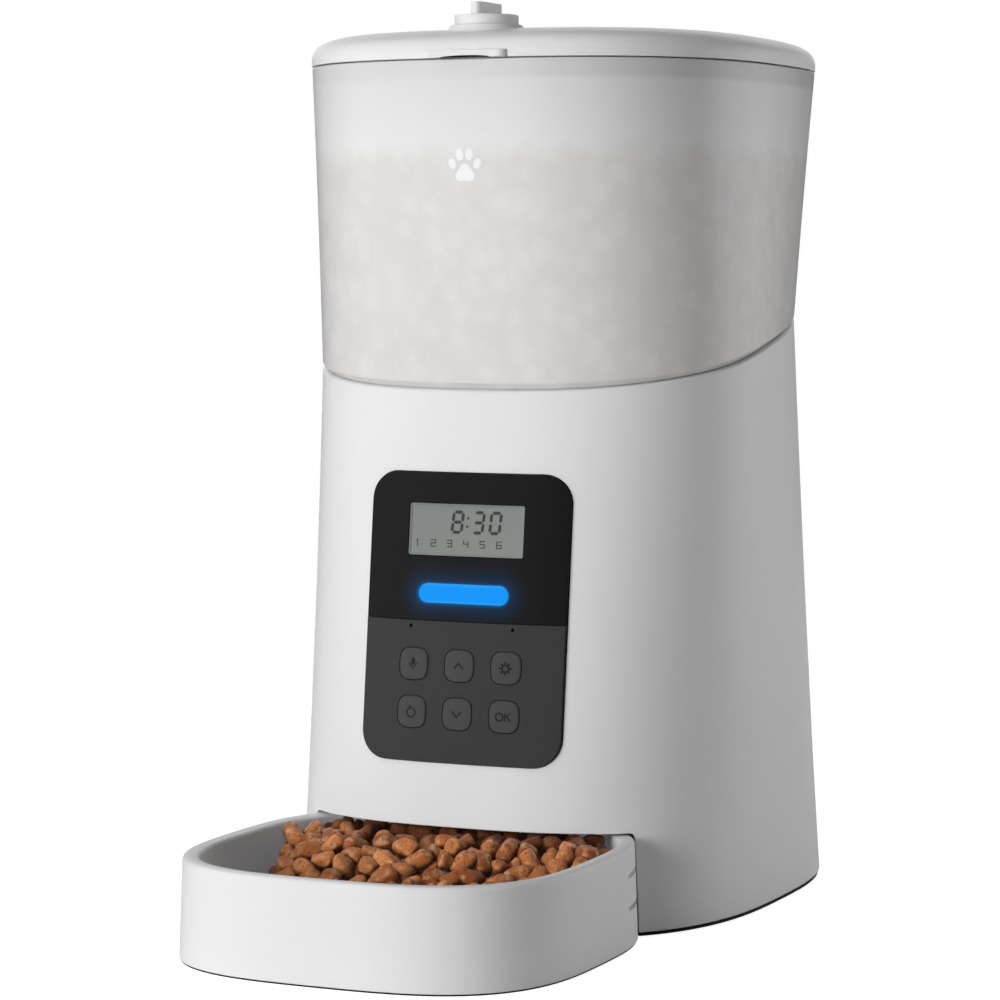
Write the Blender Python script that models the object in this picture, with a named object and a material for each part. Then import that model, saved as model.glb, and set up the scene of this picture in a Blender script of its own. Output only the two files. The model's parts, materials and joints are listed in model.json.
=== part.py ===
"""Automatic pet feeder: a waisted housing with a control panel, a translucent food tank with a
hinged lid on top, a paddle rotor that drops food down a chute, and a pull-out tray in front.

Every dimension is in millimetres; mesh points are scaled to metres as they are written.
+Z is up and the control panel faces -Y. The design is drawn about the housing's vertical axis,
and the empty FRAME_NAME moves it so that the origin is the bottom centre of the whole object.
"""

import math
from collections import namedtuple

import bmesh
import bpy
from mathutils import Matrix, Vector

MM = 0.001
FRAME_NAME = "feeder_frame"
GAP = 0.3

# Plan outlines: half width, half depth, y of the centre, and the superellipse's power
Section = namedtuple("Section", "half_x half_y centre_y power")
BASE_SECTION = Section(95.0, 113.7, -1.6, 2.87)
WAIST_SECTION = Section(91.2, 83.4, -9.5, 2.73)
TOP_SECTION = Section(93.9, 101.5, -2.2, 2.72)
TRAY_SECTION = Section(77.9, 78.7, -147.8, 3.08)
SEGMENTS = 44

# Heights; the seam between the housing and the tank rises towards the back and dips at the sides
WAIST_Z = 226.8
WAIST_RISE = 0.22
WAIST_DIP = 2.0
TANK_TOP_Z = 332.6
SHELL_BOTTOM_Z = 1.9
SHELL_WALL = 2.5
TANK_WALL = 2.2

# Tray
TRAY_BOTTOM_Z = 0.7
TRAY_TOP_Z = 38.5
TRAY_DRAFT = 1.3
TRAY_WALL = 6.0
TRAY_FLOOR = 3.0
SKIRT_Z = 39.7
SLOT_HEIGHTS = (15.4, 27.6)
SLOT_HALF = 1.0
SLOT_FRONT_Y = -119.0
SLOT_BACK_Y = -84.0

# Control panel, on the front of the housing: x is from its middle, z from the floor
PANEL_HALF_WIDTH = 42.0
PANEL_BOTTOM_Z = 63.9
PANEL_TOP_Z = 174.8
PANEL_CORNER = 11.0
PANEL_SPLIT_Z = 118.1
PANEL_PROUD = 1.4
LCD_HALF_WIDTH = 24.3
LCD_BOTTOM_Z = 142.9
LCD_TOP_Z = 163.0
LIGHT_HALF_WIDTH = 19.1
LIGHT_HALF_HEIGHT = 3.8
LIGHT_Z = 128.5
BUTTON_PITCH = 19.5
BUTTON_TOP_Z = 101.2
BUTTON_LOW_Z = 82.8
BUTTONS = {
    "button_record": (-BUTTON_PITCH, BUTTON_TOP_Z),
    "button_up": (0.0, BUTTON_TOP_Z),
    "button_settings": (BUTTON_PITCH, BUTTON_TOP_Z),
    "button_feed": (-BUTTON_PITCH, BUTTON_LOW_Z),
    "button_down": (0.0, BUTTON_LOW_Z),
    "button_ok": (BUTTON_PITCH, BUTTON_LOW_Z),
}
BUTTON_HALF = 6.2
BUTTON_POWER = 3.2
BUTTON_PROUD = 2.0
MIC_X = 21.5
MIC_Z = 115.8

# Dispenser, about a vertical axis through the housing's own
CHAMBER_RADIUS = 45.8
CHAMBER_BOTTOM_Z = 118.3
CHAMBER_TOP_Z = 150.0
ROTOR_RADIUS = 44.4
ROTOR_VANES = 6
DECK_TOP_Z = 115.5
GEAR_MODULE = 0.8
GEAR_TEETH = 36
PINION_TEETH = 12
GEAR_BACKLASH = 0.22
GEAR_CENTRES = GEAR_MODULE * (GEAR_TEETH + PINION_TEETH) / 2
PRESSURE_ANGLE = math.radians(20)

# Base
BASE_BOTTOM_Z = 0.7
BASE_TOP_Z = 5.0
DOOR_HALF_WIDTH = 54.0
DOOR_FRONT_Y = 22.0
DOOR_BACK_Y = 90.0
DOOR_BOTTOM_Z = 0.9
CELL_RADIUS = 17.0
CELL_PITCH = 35.0
CELL_Z = 21.5
CELL_LENGTH = 60.0
BOX_WALL = 2.0
BOX_TOP_Z = 41.0
SCREW_HOLE_RADIUS = 1.8
FOOT_RADIUS = 7.0
BOSS_RADIUS = 4.5
BOSS_TOP_Z = 24.0
BOSS_HOLE_TOP_Z = 18.0
BOSS_RIB_HALF = 1.2
BOSS_WALL_FRONT_X = 91.0
BOSS_WALL_BACK_X = 93.0
SCREW_PLACES = ((-84.0, 30.0), (84.0, 30.0), (-84.0, -36.0), (84.0, -36.0))
FOOT_PLACES = ((-66.0, 72.0), (66.0, 72.0), (-77.5, -60.0), (77.5, -60.0))

# Lid
LID_Z = TANK_TOP_Z + 0.5
LID_OVERHANG = 0.5
HINGE_Y = 103.4
HINGE_Z = 334.0
HINGE_RADIUS = 3.0
PIN_HOLE_RADIUS = 1.75
KNOB_Y = -80.3
CATCH_Z = 321.5
DESICCANT_Y = 12.0

BODY_Y = -(BASE_SECTION.centre_y + BASE_SECTION.half_y + TRAY_SECTION.centre_y - TRAY_SECTION.half_y) / 2


# ---------------------------------------------------------------- scene and materials


def clear_scene():
    for obj in list(bpy.data.objects):
        bpy.data.objects.remove(obj)


def make_material(name, colour, roughness, metallic=0.0, alpha=1.0):
    material = bpy.data.materials.new(name)
    material.use_nodes = True
    shader = material.node_tree.nodes["Principled BSDF"]
    shader.inputs["Base Color"].default_value = (*colour, 1.0)
    shader.inputs["Roughness"].default_value = roughness
    shader.inputs["Metallic"].default_value = metallic
    shader.inputs["Alpha"].default_value = alpha
    material.diffuse_color = (*colour, alpha)
    return material


def make_materials():
    return {
        "white": make_material("white_plastic", (0.80, 0.80, 0.80), 0.4),
        "tank": make_material("frosted_tank", (0.74, 0.74, 0.73), 0.5, alpha=0.6),
        "black": make_material("black_plastic", (0.02, 0.02, 0.02), 0.5),
        "lens": make_material("gloss_lens", (0.018, 0.018, 0.018), 0.12),
        "keypad": make_material("keypad_grey", (0.055, 0.055, 0.055), 0.55),
        "button": make_material("button_grey", (0.08, 0.08, 0.08), 0.5),
        "lcd": make_material("lcd_glass", (0.25, 0.28, 0.26), 0.25),
        "light": make_material("status_blue", (0.01, 0.33, 1.0), 0.4),
        "rubber": make_material("rubber", (0.03, 0.03, 0.03), 0.85),
        "silicone": make_material("silicone", (0.70, 0.70, 0.68), 0.6),
        "nylon": make_material("nylon", (0.75, 0.74, 0.70), 0.45),
        "board": make_material("circuit_board", (0.02, 0.16, 0.07), 0.45),
        "steel": make_material("steel", (0.60, 0.60, 0.61), 0.3, metallic=1.0),
        "cell": make_material("battery_sleeve", (0.12, 0.13, 0.14), 0.35),
    }


# ---------------------------------------------------------------- shape helpers


def superellipse(section, inset=0.0, count=SEGMENTS):
    """Points of the outline at even angles about its centre, anticlockwise from +X."""
    half_x = section.half_x - inset
    half_y = section.half_y - inset
    points = []
    for i in range(count):
        angle = 2 * math.pi * i / count
        cosine = abs(math.cos(angle) / half_x) ** section.power
        sine = abs(math.sin(angle) / half_y) ** section.power
        radius = (cosine + sine) ** (-1 / section.power)
        points.append((radius * math.cos(angle), section.centre_y + radius * math.sin(angle)))
    return points


def circle(radius, count, centre=(0.0, 0.0), start=0.0):
    steps = (start + 2 * math.pi * i / count for i in range(count))
    return [(centre[0] + radius * math.cos(a), centre[1] + radius * math.sin(a)) for a in steps]


def rounded_rectangle(x0, y0, x1, y1, radius, per_corner=6):
    corners = ((x1, y1, 0), (x0, y1, 1), (x0, y0, 2), (x1, y0, 3))
    points = []
    for x, y, quarter in corners:
        centre_x = x - math.copysign(radius, x - (x0 + x1) / 2)
        centre_y = y - math.copysign(radius, y - (y0 + y1) / 2)
        for i in range(per_corner + 1):
            angle = math.pi / 2 * (quarter + i / per_corner)
            points.append((centre_x + radius * math.cos(angle), centre_y + radius * math.sin(angle)))
    return points


def level(points, z):
    return [(x, y, z) for x, y in points]


def seam_z(x, y):
    return WAIST_Z + WAIST_RISE * y - WAIST_DIP * (x / WAIST_SECTION.half_x) ** 6


def on_seam(points, above=0.0):
    """Lifts a plan outline to the tilted surface where the housing and the tank meet."""
    return [(x, y, seam_z(x, y) + above) for x, y in points]


def between(ring_a, ring_b, share):
    return [tuple(p + (q - p) * share for p, q in zip(a, b)) for a, b in zip(ring_a, ring_b)]


def body_ring(share, inset=0.0):
    """The housing's outline part of the way from the floor (0) to the seam (1)."""
    low = level(superellipse(BASE_SECTION, inset), 0.0)
    return between(low, on_seam(superellipse(WAIST_SECTION, inset)), share)


def front_y(x, z):
    """y of the housing's front surface at a place on the control panel."""

    def edge(section):
        bulge = (1 - abs(x / section.half_x) ** section.power) ** (1 / section.power)
        return section.centre_y - section.half_y * bulge

    low, high = edge(BASE_SECTION), edge(WAIST_SECTION)
    return low + (high - low) * z / seam_z(x, high)


FRONT_SLOPE = (front_y(0, PANEL_TOP_Z) - front_y(0, PANEL_BOTTOM_Z)) / (PANEL_TOP_Z - PANEL_BOTTOM_Z)
FRONT_LEAN = math.atan(FRONT_SLOPE)


def add_mesh(name, points, faces, material=None):
    mesh = bpy.data.meshes.new(name)
    mesh.from_pydata([Vector(p) * MM for p in points], [], faces)
    if material:
        mesh.materials.append(material)
    obj = bpy.data.objects.new(name, mesh)
    bpy.context.scene.collection.objects.link(obj)
    work = bmesh.new()
    work.from_mesh(mesh)
    bmesh.ops.recalc_face_normals(work, faces=work.faces)
    work.to_mesh(mesh)
    work.free()
    return obj


def loft(name, rings, material=None, closed=False):
    """Skins rings of equally many points; the ends are capped, or joined to each other if closed."""
    count = len(rings[0])
    points = [p for ring in rings for p in ring]
    pairs = list(zip(range(len(rings)), range(1, len(rings))))
    faces = []
    if closed:
        pairs.append((len(rings) - 1, 0))
    else:
        faces += [list(range(count))[::-1], [(len(rings) - 1) * count + i for i in range(count)]]
    for a, b in pairs:
        for i in range(count):
            j = (i + 1) % count
            faces.append([a * count + i, a * count + j, b * count + j, b * count + i])
    return add_mesh(name, points, faces, material)


def prism(name, outline, z0, z1, material=None):
    return loft(name, [level(outline, z0), level(outline, z1)], material)


def face_prism(name, outline, y0, y1, material=None):
    """A prism along Y whose outline is given as x and z."""
    return loft(name, [[(x, y, z) for x, z in outline] for y in (y0, y1)], material)


def side_prism(name, outline, x0, x1, material=None):
    """A prism along X whose outline is given as y and z."""
    return loft(name, [[(x, y, z) for y, z in outline] for x in (x0, x1)], material)


def block(name, low, high, material=None):
    outline = [(low[0], low[1]), (high[0], low[1]), (high[0], high[1]), (low[0], high[1])]
    return prism(name, outline, low[2], high[2], material)


def combine(target, tool, operation):
    tool.hide_render = True
    tool.display_type = "WIRE"
    modifier = target.modifiers.new(tool.name, "BOOLEAN")
    modifier.operation = operation
    modifier.object = tool
    return target


def cut(target, *tools):
    for tool in tools:
        combine(target, tool, "DIFFERENCE")
    return target


def join(target, *tools):
    for tool in tools:
        combine(target, tool, "UNION")
    return target


def front_slab(name, back, front, material=None, columns=12):
    """A slab that follows the housing's front, from back to front millimetres outside it."""
    half_width = PANEL_HALF_WIDTH + 4
    rings = []
    for z in (PANEL_BOTTOM_Z - 4, PANEL_TOP_Z + 4):
        xs = [half_width * (2 * i / columns - 1) for i in range(columns + 1)]
        outer = [(x, front_y(x, z) - front, z) for x in xs]
        inner = [(x, front_y(x, z) - back, z) for x in reversed(xs)]
        rings.append(outer + inner)
    return loft(name, rings, material)


def front_piece(name, outline, back, front, material, holes=()):
    """A piece of the front slab inside an outline in x and z, with holes through it."""
    piece = front_slab(name, back, front, material)
    depth = (-125.0, -80.0)
    combine(piece, face_prism(f"{name}_outline", outline, *depth), "INTERSECT")
    for number, hole in enumerate(holes):
        cut(piece, face_prism(f"{name}_hole_{number}", hole, *depth))
    return piece


def squircle(half, power, centre, count=20):
    outline = superellipse(Section(half, half, 0, power), 0, count)
    return [(centre[0] + x, centre[1] + y) for x, y in outline]


def pivot(place, *names):
    """Puts each object's origin on its joint's axis and leaves its shape where it is."""
    point = Vector(place) * MM
    for name in names:
        obj = bpy.data.objects[name]
        obj.data.transform(Matrix.Translation(-point))
        obj.location = point


def set_pivots():
    pivot((0, TRAY_SECTION.centre_y, 0), "food_tray", "tray_foot_left", "tray_foot_right")
    pivot((0, 0, WAIST_Z), "food_tank", "dispenser_floor")
    pivot((0, 0, CHAMBER_BOTTOM_Z), "dispensing_rotor", "stirrer", "drive_gear")
    pivot((0, GEAR_CENTRES, CHAMBER_BOTTOM_Z), "motor_pinion")
    pivot((0, HINGE_Y, HINGE_Z), "lid", "lid_seal", "hinge_pin", "desiccant_box")
    pivot((0, KNOB_Y, LID_Z), "lock_knob", "lock_tongue")
    pivot((0, DESICCANT_Y, LID_Z), "desiccant_cover")
    pivot((0, DOOR_FRONT_Y, DOOR_BOTTOM_Z), "battery_door")
    for name, place in BUTTONS.items():
        pivot((place[0], front_y(*place), place[1]), name)


def hang_on_frame():
    """Parents every object to the empty that sets the origin."""
    frame = bpy.data.objects.new(FRAME_NAME, None)
    bpy.context.scene.collection.objects.link(frame)
    frame.location = (0, BODY_Y * MM, 0)
    for obj in bpy.context.scene.collection.objects:
        if obj is not frame:
            obj.parent = frame


def shade(angle_degrees=35):
    for obj in bpy.context.scene.collection.objects:
        if obj.type == "MESH":
            obj.data.shade_smooth()
            obj.data.set_sharp_from_angle(angle=math.radians(angle_degrees))


# ---------------------------------------------------------------- housing


def tray_space(name, height):
    """The room that the tray slides into, as a cutter."""
    outline = superellipse(TRAY_SECTION, -0.5 - TRAY_DRAFT / 4)
    return prism(name, outline, -2.0, height)


def build_body_shell(mats):
    start = SHELL_BOTTOM_Z / WAIST_Z
    corners = ((start, 0), (1, 0), (1, SHELL_WALL), (start, SHELL_WALL))
    rings = [body_ring(share, inset) for share, inset in corners]
    shell = loft("body_shell", rings, mats["white"], closed=True)
    half_width = PANEL_HALF_WIDTH + GAP
    panel = rounded_rectangle(
        -half_width, PANEL_BOTTOM_Z - GAP, half_width, PANEL_TOP_Z + GAP, PANEL_CORNER + GAP
    )
    cut(shell, tray_space("tray_opening", SKIRT_Z), face_prism("panel_opening", panel, -125, -85))
    cut(shell, block("socket_opening", (-6.5, 95, 50.5), (6.5, 110, 61.5)))
    low_z, high_z = BASE_TOP_Z + 0.4, BOSS_TOP_Z
    for number, (x, y) in enumerate(SCREW_PLACES):
        wall_x = BOSS_WALL_FRONT_X if y < 0 else BOSS_WALL_BACK_X
        left, right = sorted((x, math.copysign(wall_x, x)))
        rib_low = (left, y - BOSS_RIB_HALF, low_z + 0.1)
        rib_high = (right, y + BOSS_RIB_HALF, high_z - GAP)
        join(shell, prism(f"boss_{number}", circle(BOSS_RADIUS, 12, (x, y)), low_z, high_z))
        join(shell, block(f"boss_rib_{number}", rib_low, rib_high))
        cut(shell, prism(f"boss_hole_{number}", circle(SCREW_HOLE_RADIUS, 8, (x, y)), 0.0, BOSS_HOLE_TOP_Z))
    return shell


def build_base(mats):
    flange = 1.0
    plug = SHELL_WALL + 1.3
    step = SHELL_BOTTOM_Z - GAP
    heights = ((flange, BASE_BOTTOM_Z), (flange, step), (plug, step), (plug, BASE_TOP_Z))
    rings = [level(superellipse(BASE_SECTION, inset), z) for inset, z in heights]
    base = loft("base_plate", rings, mats["black"])
    cut(base, tray_space("base_tray_notch", 8.0))
    door = (-DOOR_HALF_WIDTH - GAP, DOOR_FRONT_Y - GAP), (DOOR_HALF_WIDTH + GAP, DOOR_BACK_Y + GAP)
    cut(base, block("door_opening", (*door[0], -1), (*door[1], 8)))
    for number, place in enumerate(FOOT_PLACES):
        cut(base, prism(f"foot_pocket_{number}", circle(FOOT_RADIUS + GAP, 16, place), -1, 2.5))
    for number, place in enumerate(SCREW_PLACES):
        cut(base, prism(f"head_pocket_{number}", circle(3.8, 12, place), -1, 2.6))
        cut(base, prism(f"screw_hole_{number}", circle(SCREW_HOLE_RADIUS, 8, place), -1, 8))
    for number in range(4):
        y = -42 + 8 * number
        slot = rounded_rectangle(-64, y, -40, y + 3, 1.45, 3)
        cut(base, prism(f"speaker_slot_{number}", slot, -1, 8))
    names = ("foot_rear_left", "foot_rear_right", "foot_front_left", "foot_front_right")
    for name, place in zip(names, FOOT_PLACES):
        prism(name, circle(FOOT_RADIUS, 16, place), 0.0, 2.2, mats["rubber"])
    for number, place in enumerate(SCREW_PLACES, 1):
        head = prism(f"base_screw_{number}", circle(3.4, 12, place), 1.0, 2.3, mats["steel"])
        join(head, prism(f"shank_{number}", circle(1.4, 8, place), 1.6, 15.0))
        for turn in (0, 1):
            reach = (2.0, 0.4) if turn else (0.4, 2.0)
            low = (place[0] - reach[0], place[1] - reach[1])
            high = (place[0] + reach[0], place[1] + reach[1])
            corners = rounded_rectangle(*low, *high, 0.1, 1)
            cut(head, prism(f"recess_{number}_{turn}", corners, 0.5, 1.7))


def build_battery_bay(mats):
    """The box for three cells, its cover in the base, and the cells."""
    rim = 1.4
    outer = (-DOOR_HALF_WIDTH - rim, DOOR_FRONT_Y - rim, DOOR_HALF_WIDTH + rim, DOOR_BACK_Y + rim)
    outline = rounded_rectangle(*outer, 3.0, 2)
    box = prism("battery_box", outline, BASE_TOP_Z + GAP, BOX_TOP_Z, mats["white"])
    hollow = (outer[0] + BOX_WALL, outer[1] + BOX_WALL, outer[2] - BOX_WALL, outer[3] - BOX_WALL)
    outline = rounded_rectangle(*hollow, 1.5, 2)
    cut(box, prism("battery_hollow", outline, BASE_TOP_Z - 1.0, BOX_TOP_Z - BOX_WALL))
    door = block(
        "battery_door",
        (-DOOR_HALF_WIDTH, DOOR_FRONT_Y, DOOR_BOTTOM_Z),
        (DOOR_HALF_WIDTH, DOOR_BACK_Y, 3.3),
        mats["black"],
    )
    cut(door, prism("finger_grip", rounded_rectangle(-11, 78, 11, 84, 2.9, 3), 0.0, 2.0))
    for number in range(3):
        centre = (CELL_PITCH * (number - 1), CELL_Z)
        y0 = DOOR_FRONT_Y + 3.2
        y1 = y0 + CELL_LENGTH
        outline = circle(CELL_RADIUS, 20, centre)
        cell = face_prism(f"battery_{number + 1}", outline, y0, y1, mats["cell"])
        join(cell, face_prism(f"cell_tip_{number}", circle(4.6, 10, centre), y1 - 1, y1 + 1.5))
    contacts = {"battery_contacts_front": DOOR_FRONT_Y + 1.2, "battery_contacts_rear": DOOR_BACK_Y - 2.0}
    for name, y in contacts.items():
        block(name, (-48, y, 14), (48, y + 0.7, 30), mats["steel"])


def build_electrics(mats):
    """Boards, socket and speaker inside the housing."""
    middle_z = (PANEL_BOTTOM_Z + PANEL_TOP_Z) / 2
    board = block("control_board", (-37, -0.8, -49), (37, 0.8, 49), mats["board"])
    board.rotation_euler = (-FRONT_LEAN, 0, 0)
    board.location = Vector((0, front_y(0, middle_z) + 9.4, middle_z)) * MM
    block("main_board", (-34, 86, 47), (34, 87.6, 92), mats["board"])
    socket = block("power_socket", (-6, 88, 51), (6, 102.6, 61), mats["black"])
    cut(socket, face_prism("socket_bore", circle(3.1, 12, (0, 56)), 93, 110))
    pin = face_prism("power_pin", circle(0.9, 8, (0, 56)), 92, 101)
    join(socket, pin)
    prism("speaker", circle(18, 20, (-52, -29)), BASE_TOP_Z + 0.4, 14.0, mats["black"])
    microphone_y = front_y(MIC_X, MIC_Z)
    outline = circle(3.0, 12, (-MIC_X, MIC_Z))
    face_prism("microphone", outline, microphone_y + 3.6, microphone_y + 7.2, mats["steel"])


# ---------------------------------------------------------------- control panel


def panel_outline():
    half_width = PANEL_HALF_WIDTH
    return rounded_rectangle(-half_width, PANEL_BOTTOM_Z, half_width, PANEL_TOP_Z, PANEL_CORNER)


def panel_part(top, bottom):
    """The panel's outline between two heights, rounded only at the panel's own corners."""
    kept = [(x, z) for x, z in panel_outline() if bottom <= z <= top]
    if top < PANEL_TOP_Z:
        kept = [(PANEL_HALF_WIDTH, top), (-PANEL_HALF_WIDTH, top)] + kept
    if bottom > PANEL_BOTTOM_Z:
        kept += [(-PANEL_HALF_WIDTH, bottom), (PANEL_HALF_WIDTH, bottom)]
    return kept


def lcd_outline(inset):
    half_width = LCD_HALF_WIDTH - inset
    low, high = LCD_BOTTOM_Z + inset, LCD_TOP_Z - inset
    return rounded_rectangle(-half_width, low, half_width, high, 1.0, 2)


def light_outline(inset):
    half_width, half_height = LIGHT_HALF_WIDTH - inset, LIGHT_HALF_HEIGHT - inset
    low, high = LIGHT_Z - half_height, LIGHT_Z + half_height
    return rounded_rectangle(-half_width, low, half_width, high, half_height - 0.02, 6)


def build_panel(mats):
    lcd = lcd_outline(0.0)
    light = light_outline(0.0)
    wells = [squircle(BUTTON_HALF + 0.35, BUTTON_POWER, place) for place in BUTTONS.values()]
    mics = [circle(0.8, 8, (x, MIC_Z)) for x in (-MIC_X, MIC_X)]
    front_piece("panel_frame", panel_outline(), -3.0, -0.2, mats["black"], [lcd, light, *wells])
    upper = panel_part(PANEL_TOP_Z, PANEL_SPLIT_Z + 0.05)
    front_piece("display_lens", upper, 0.1, PANEL_PROUD, mats["lens"], [lcd, light])
    lower = panel_part(PANEL_SPLIT_Z - 0.25, PANEL_BOTTOM_Z)
    front_piece("keypad_plate", lower, 0.1, PANEL_PROUD, mats["keypad"], [*wells, *mics])
    front_piece("lcd_display", lcd_outline(GAP), -3.0, PANEL_PROUD - 0.5, mats["lcd"])
    front_piece("status_light", light_outline(GAP / 2), -4.0, PANEL_PROUD - 0.1, mats["light"])
    for name, place in BUTTONS.items():
        outline = squircle(BUTTON_HALF, BUTTON_POWER, place)
        button = front_piece(name, outline, -2.0, BUTTON_PROUD, mats["button"])
        surface = front_y(*place)
        join(button, face_prism(f"stem_{name}", circle(2.0, 10, place), surface + 1.0, surface + 7.0))


# ---------------------------------------------------------------- tray


def build_tray(mats):
    """A deep bowl with a rounded rim, and two grip slots in each side beside the housing."""
    depth = TRAY_TOP_Z - TRAY_BOTTOM_Z
    floor_z = TRAY_BOTTOM_Z + TRAY_FLOOR
    profile = (
        (0.6, TRAY_BOTTOM_Z),
        (0.0, TRAY_BOTTOM_Z + 1.0),
        (TRAY_DRAFT * 0.9, TRAY_BOTTOM_Z + depth - 2.6),
        (TRAY_DRAFT + 0.8, TRAY_TOP_Z - 0.7),
        (TRAY_DRAFT + 2.4, TRAY_TOP_Z),
        (TRAY_DRAFT + TRAY_WALL - 2.2, TRAY_TOP_Z - 0.2),
        (TRAY_DRAFT + TRAY_WALL, TRAY_TOP_Z - 2.2),
        (TRAY_DRAFT + TRAY_WALL + 2.5, floor_z + 12.0),
        (TRAY_DRAFT + TRAY_WALL + 5.5, floor_z + 4.5),
        (TRAY_DRAFT + TRAY_WALL + 11.0, floor_z + 0.8),
        (TRAY_DRAFT + TRAY_WALL + 20.0, floor_z),
    )
    rings = [level(superellipse(TRAY_SECTION, inset), z) for inset, z in profile]
    tray = loft("food_tray", rings, mats["white"])
    for z in SLOT_HEIGHTS:
        edges = ((-3.0, -SLOT_HALF), (-3.0, SLOT_HALF), (2.6, SLOT_HALF), (2.6, -SLOT_HALF))
        rings = [level(superellipse(TRAY_SECTION, inset), z + rise) for inset, rise in edges]
        groove = loft(f"grip_groove_{z}", rings, closed=True)
        sides = block(f"grip_sides_{z}", (-90, SLOT_FRONT_Y, z - 4), (90, SLOT_BACK_Y, z + 4))
        cut(tray, combine(groove, sides, "INTERSECT"))
    for name, x in (("tray_foot_left", -38.0), ("tray_foot_right", 38.0)):
        cut(tray, prism(f"{name}_pocket", circle(5.3, 14, (x, -190)), -1, 1.9))
        prism(name, circle(5.0, 14, (x, -190)), 0.0, 1.6, mats["rubber"])


# ---------------------------------------------------------------- dispenser


def involute(angle):
    return math.tan(angle) - angle


def gear_outline(teeth, centre, phase):
    """A spur gear's outline with involute flanks and a little backlash."""
    pitch = GEAR_MODULE * teeth / 2
    base = pitch * math.cos(PRESSURE_ANGLE)
    tip = pitch + 0.85 * GEAR_MODULE
    root = pitch - 1.15 * GEAR_MODULE
    half = math.pi / (2 * teeth) - GEAR_BACKLASH / (2 * pitch)
    lowest = max(base, root + 0.05)
    flank = []
    for radius in (lowest, (2 * lowest + tip) / 3, tip):
        spread = half + involute(PRESSURE_ANGLE) - involute(math.acos(min(1.0, base / radius)))
        flank.append((radius, spread))
    flank.insert(0, (root, flank[0][1]))
    points = []
    for tooth in range(teeth):
        middle = phase + 2 * math.pi * tooth / teeth
        sides = [(r, middle - s) for r, s in flank] + [(r, middle + s) for r, s in reversed(flank)]
        points += [(centre[0] + r * math.cos(a), centre[1] + r * math.sin(a)) for r, a in sides]
    return points


def build_drive(mats):
    """Gearbox under the deck: the motor's pinion turns the drive gear, and its hexagon the rotor."""
    motor = (0.0, GEAR_CENTRES)
    outline = rounded_rectangle(-18.2, -17.2, 18.2, 29, 4, 3)
    housing = prism("gearbox_housing", outline, 95.0, DECK_TOP_Z - 2.9, mats["nylon"])
    hollow = rounded_rectangle(-16.6, -15.7, 16.6, 27.2, 3, 3)
    cut(housing, prism("gearbox_hollow", hollow, 97.0, 120.0))
    cut(housing, prism("gearbox_shaft_hole", circle(2.2, 10, motor), 90.0, 100.0))
    gear = prism("drive_gear", gear_outline(GEAR_TEETH, (0, 0), 0.0), 99.0, 105.0, mats["nylon"])
    join(gear, prism("drive_hexagon", circle(4.5, 6), 97.6, 133.0))
    outline = gear_outline(PINION_TEETH, motor, math.pi / PINION_TEETH)
    pinion = prism("motor_pinion", outline, 98.6, 105.4, mats["steel"])
    join(pinion, prism("pinion_shaft", circle(1.5, 10, motor), 95.0, 102.0))
    can = prism("drive_motor", circle(12.0, 20, motor), 60.0, 94.6, mats["steel"])
    join(can, prism("motor_cap", circle(9.0, 16, motor), 56.0, 61.0))


def build_deck(mats):
    """The floor that the tank's dispenser rests on, above the motor and the chute."""
    share = DECK_TOP_Z / WAIST_Z
    ring = body_ring(share, SHELL_WALL + 3.0)
    outline = [(x, y) for x, y, _ in ring]
    deck = prism("tank_deck", outline, DECK_TOP_Z - 2.5, DECK_TOP_Z, mats["white"])
    cut(deck, block("deck_front", (-46, -130, 100), (46, -84, 130)))
    cut(deck, prism("deck_food_hole", rounded_rectangle(-20, -44, 20, -20.6, 6, 4), 100, 130))
    cut(deck, prism("deck_shaft_hole", circle(6.5, 12), 100, 130))
    return deck


def build_chute(mats):
    """A tube from the dispenser's outlet down to the back of the tray."""
    wall = 1.8
    top = (-21.8, -47.0, 21.8, -18.6)
    bottom = (-42.0, -103.0, 42.0, -76.0)
    rings = []
    for sink in (0.0, wall):
        ends = []
        for corners, z in ((top, DECK_TOP_Z - 2.9), (bottom, SKIRT_Z + 1.8)):
            inner = (corners[0] + sink, corners[1] + sink, corners[2] - sink, corners[3] - sink)
            ends.append(level(rounded_rectangle(*inner, 7.0 - sink, 4), z))
        rings += ends if sink == 0 else ends[::-1]
    return loft("food_chute", rings, mats["white"], closed=True)


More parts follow.
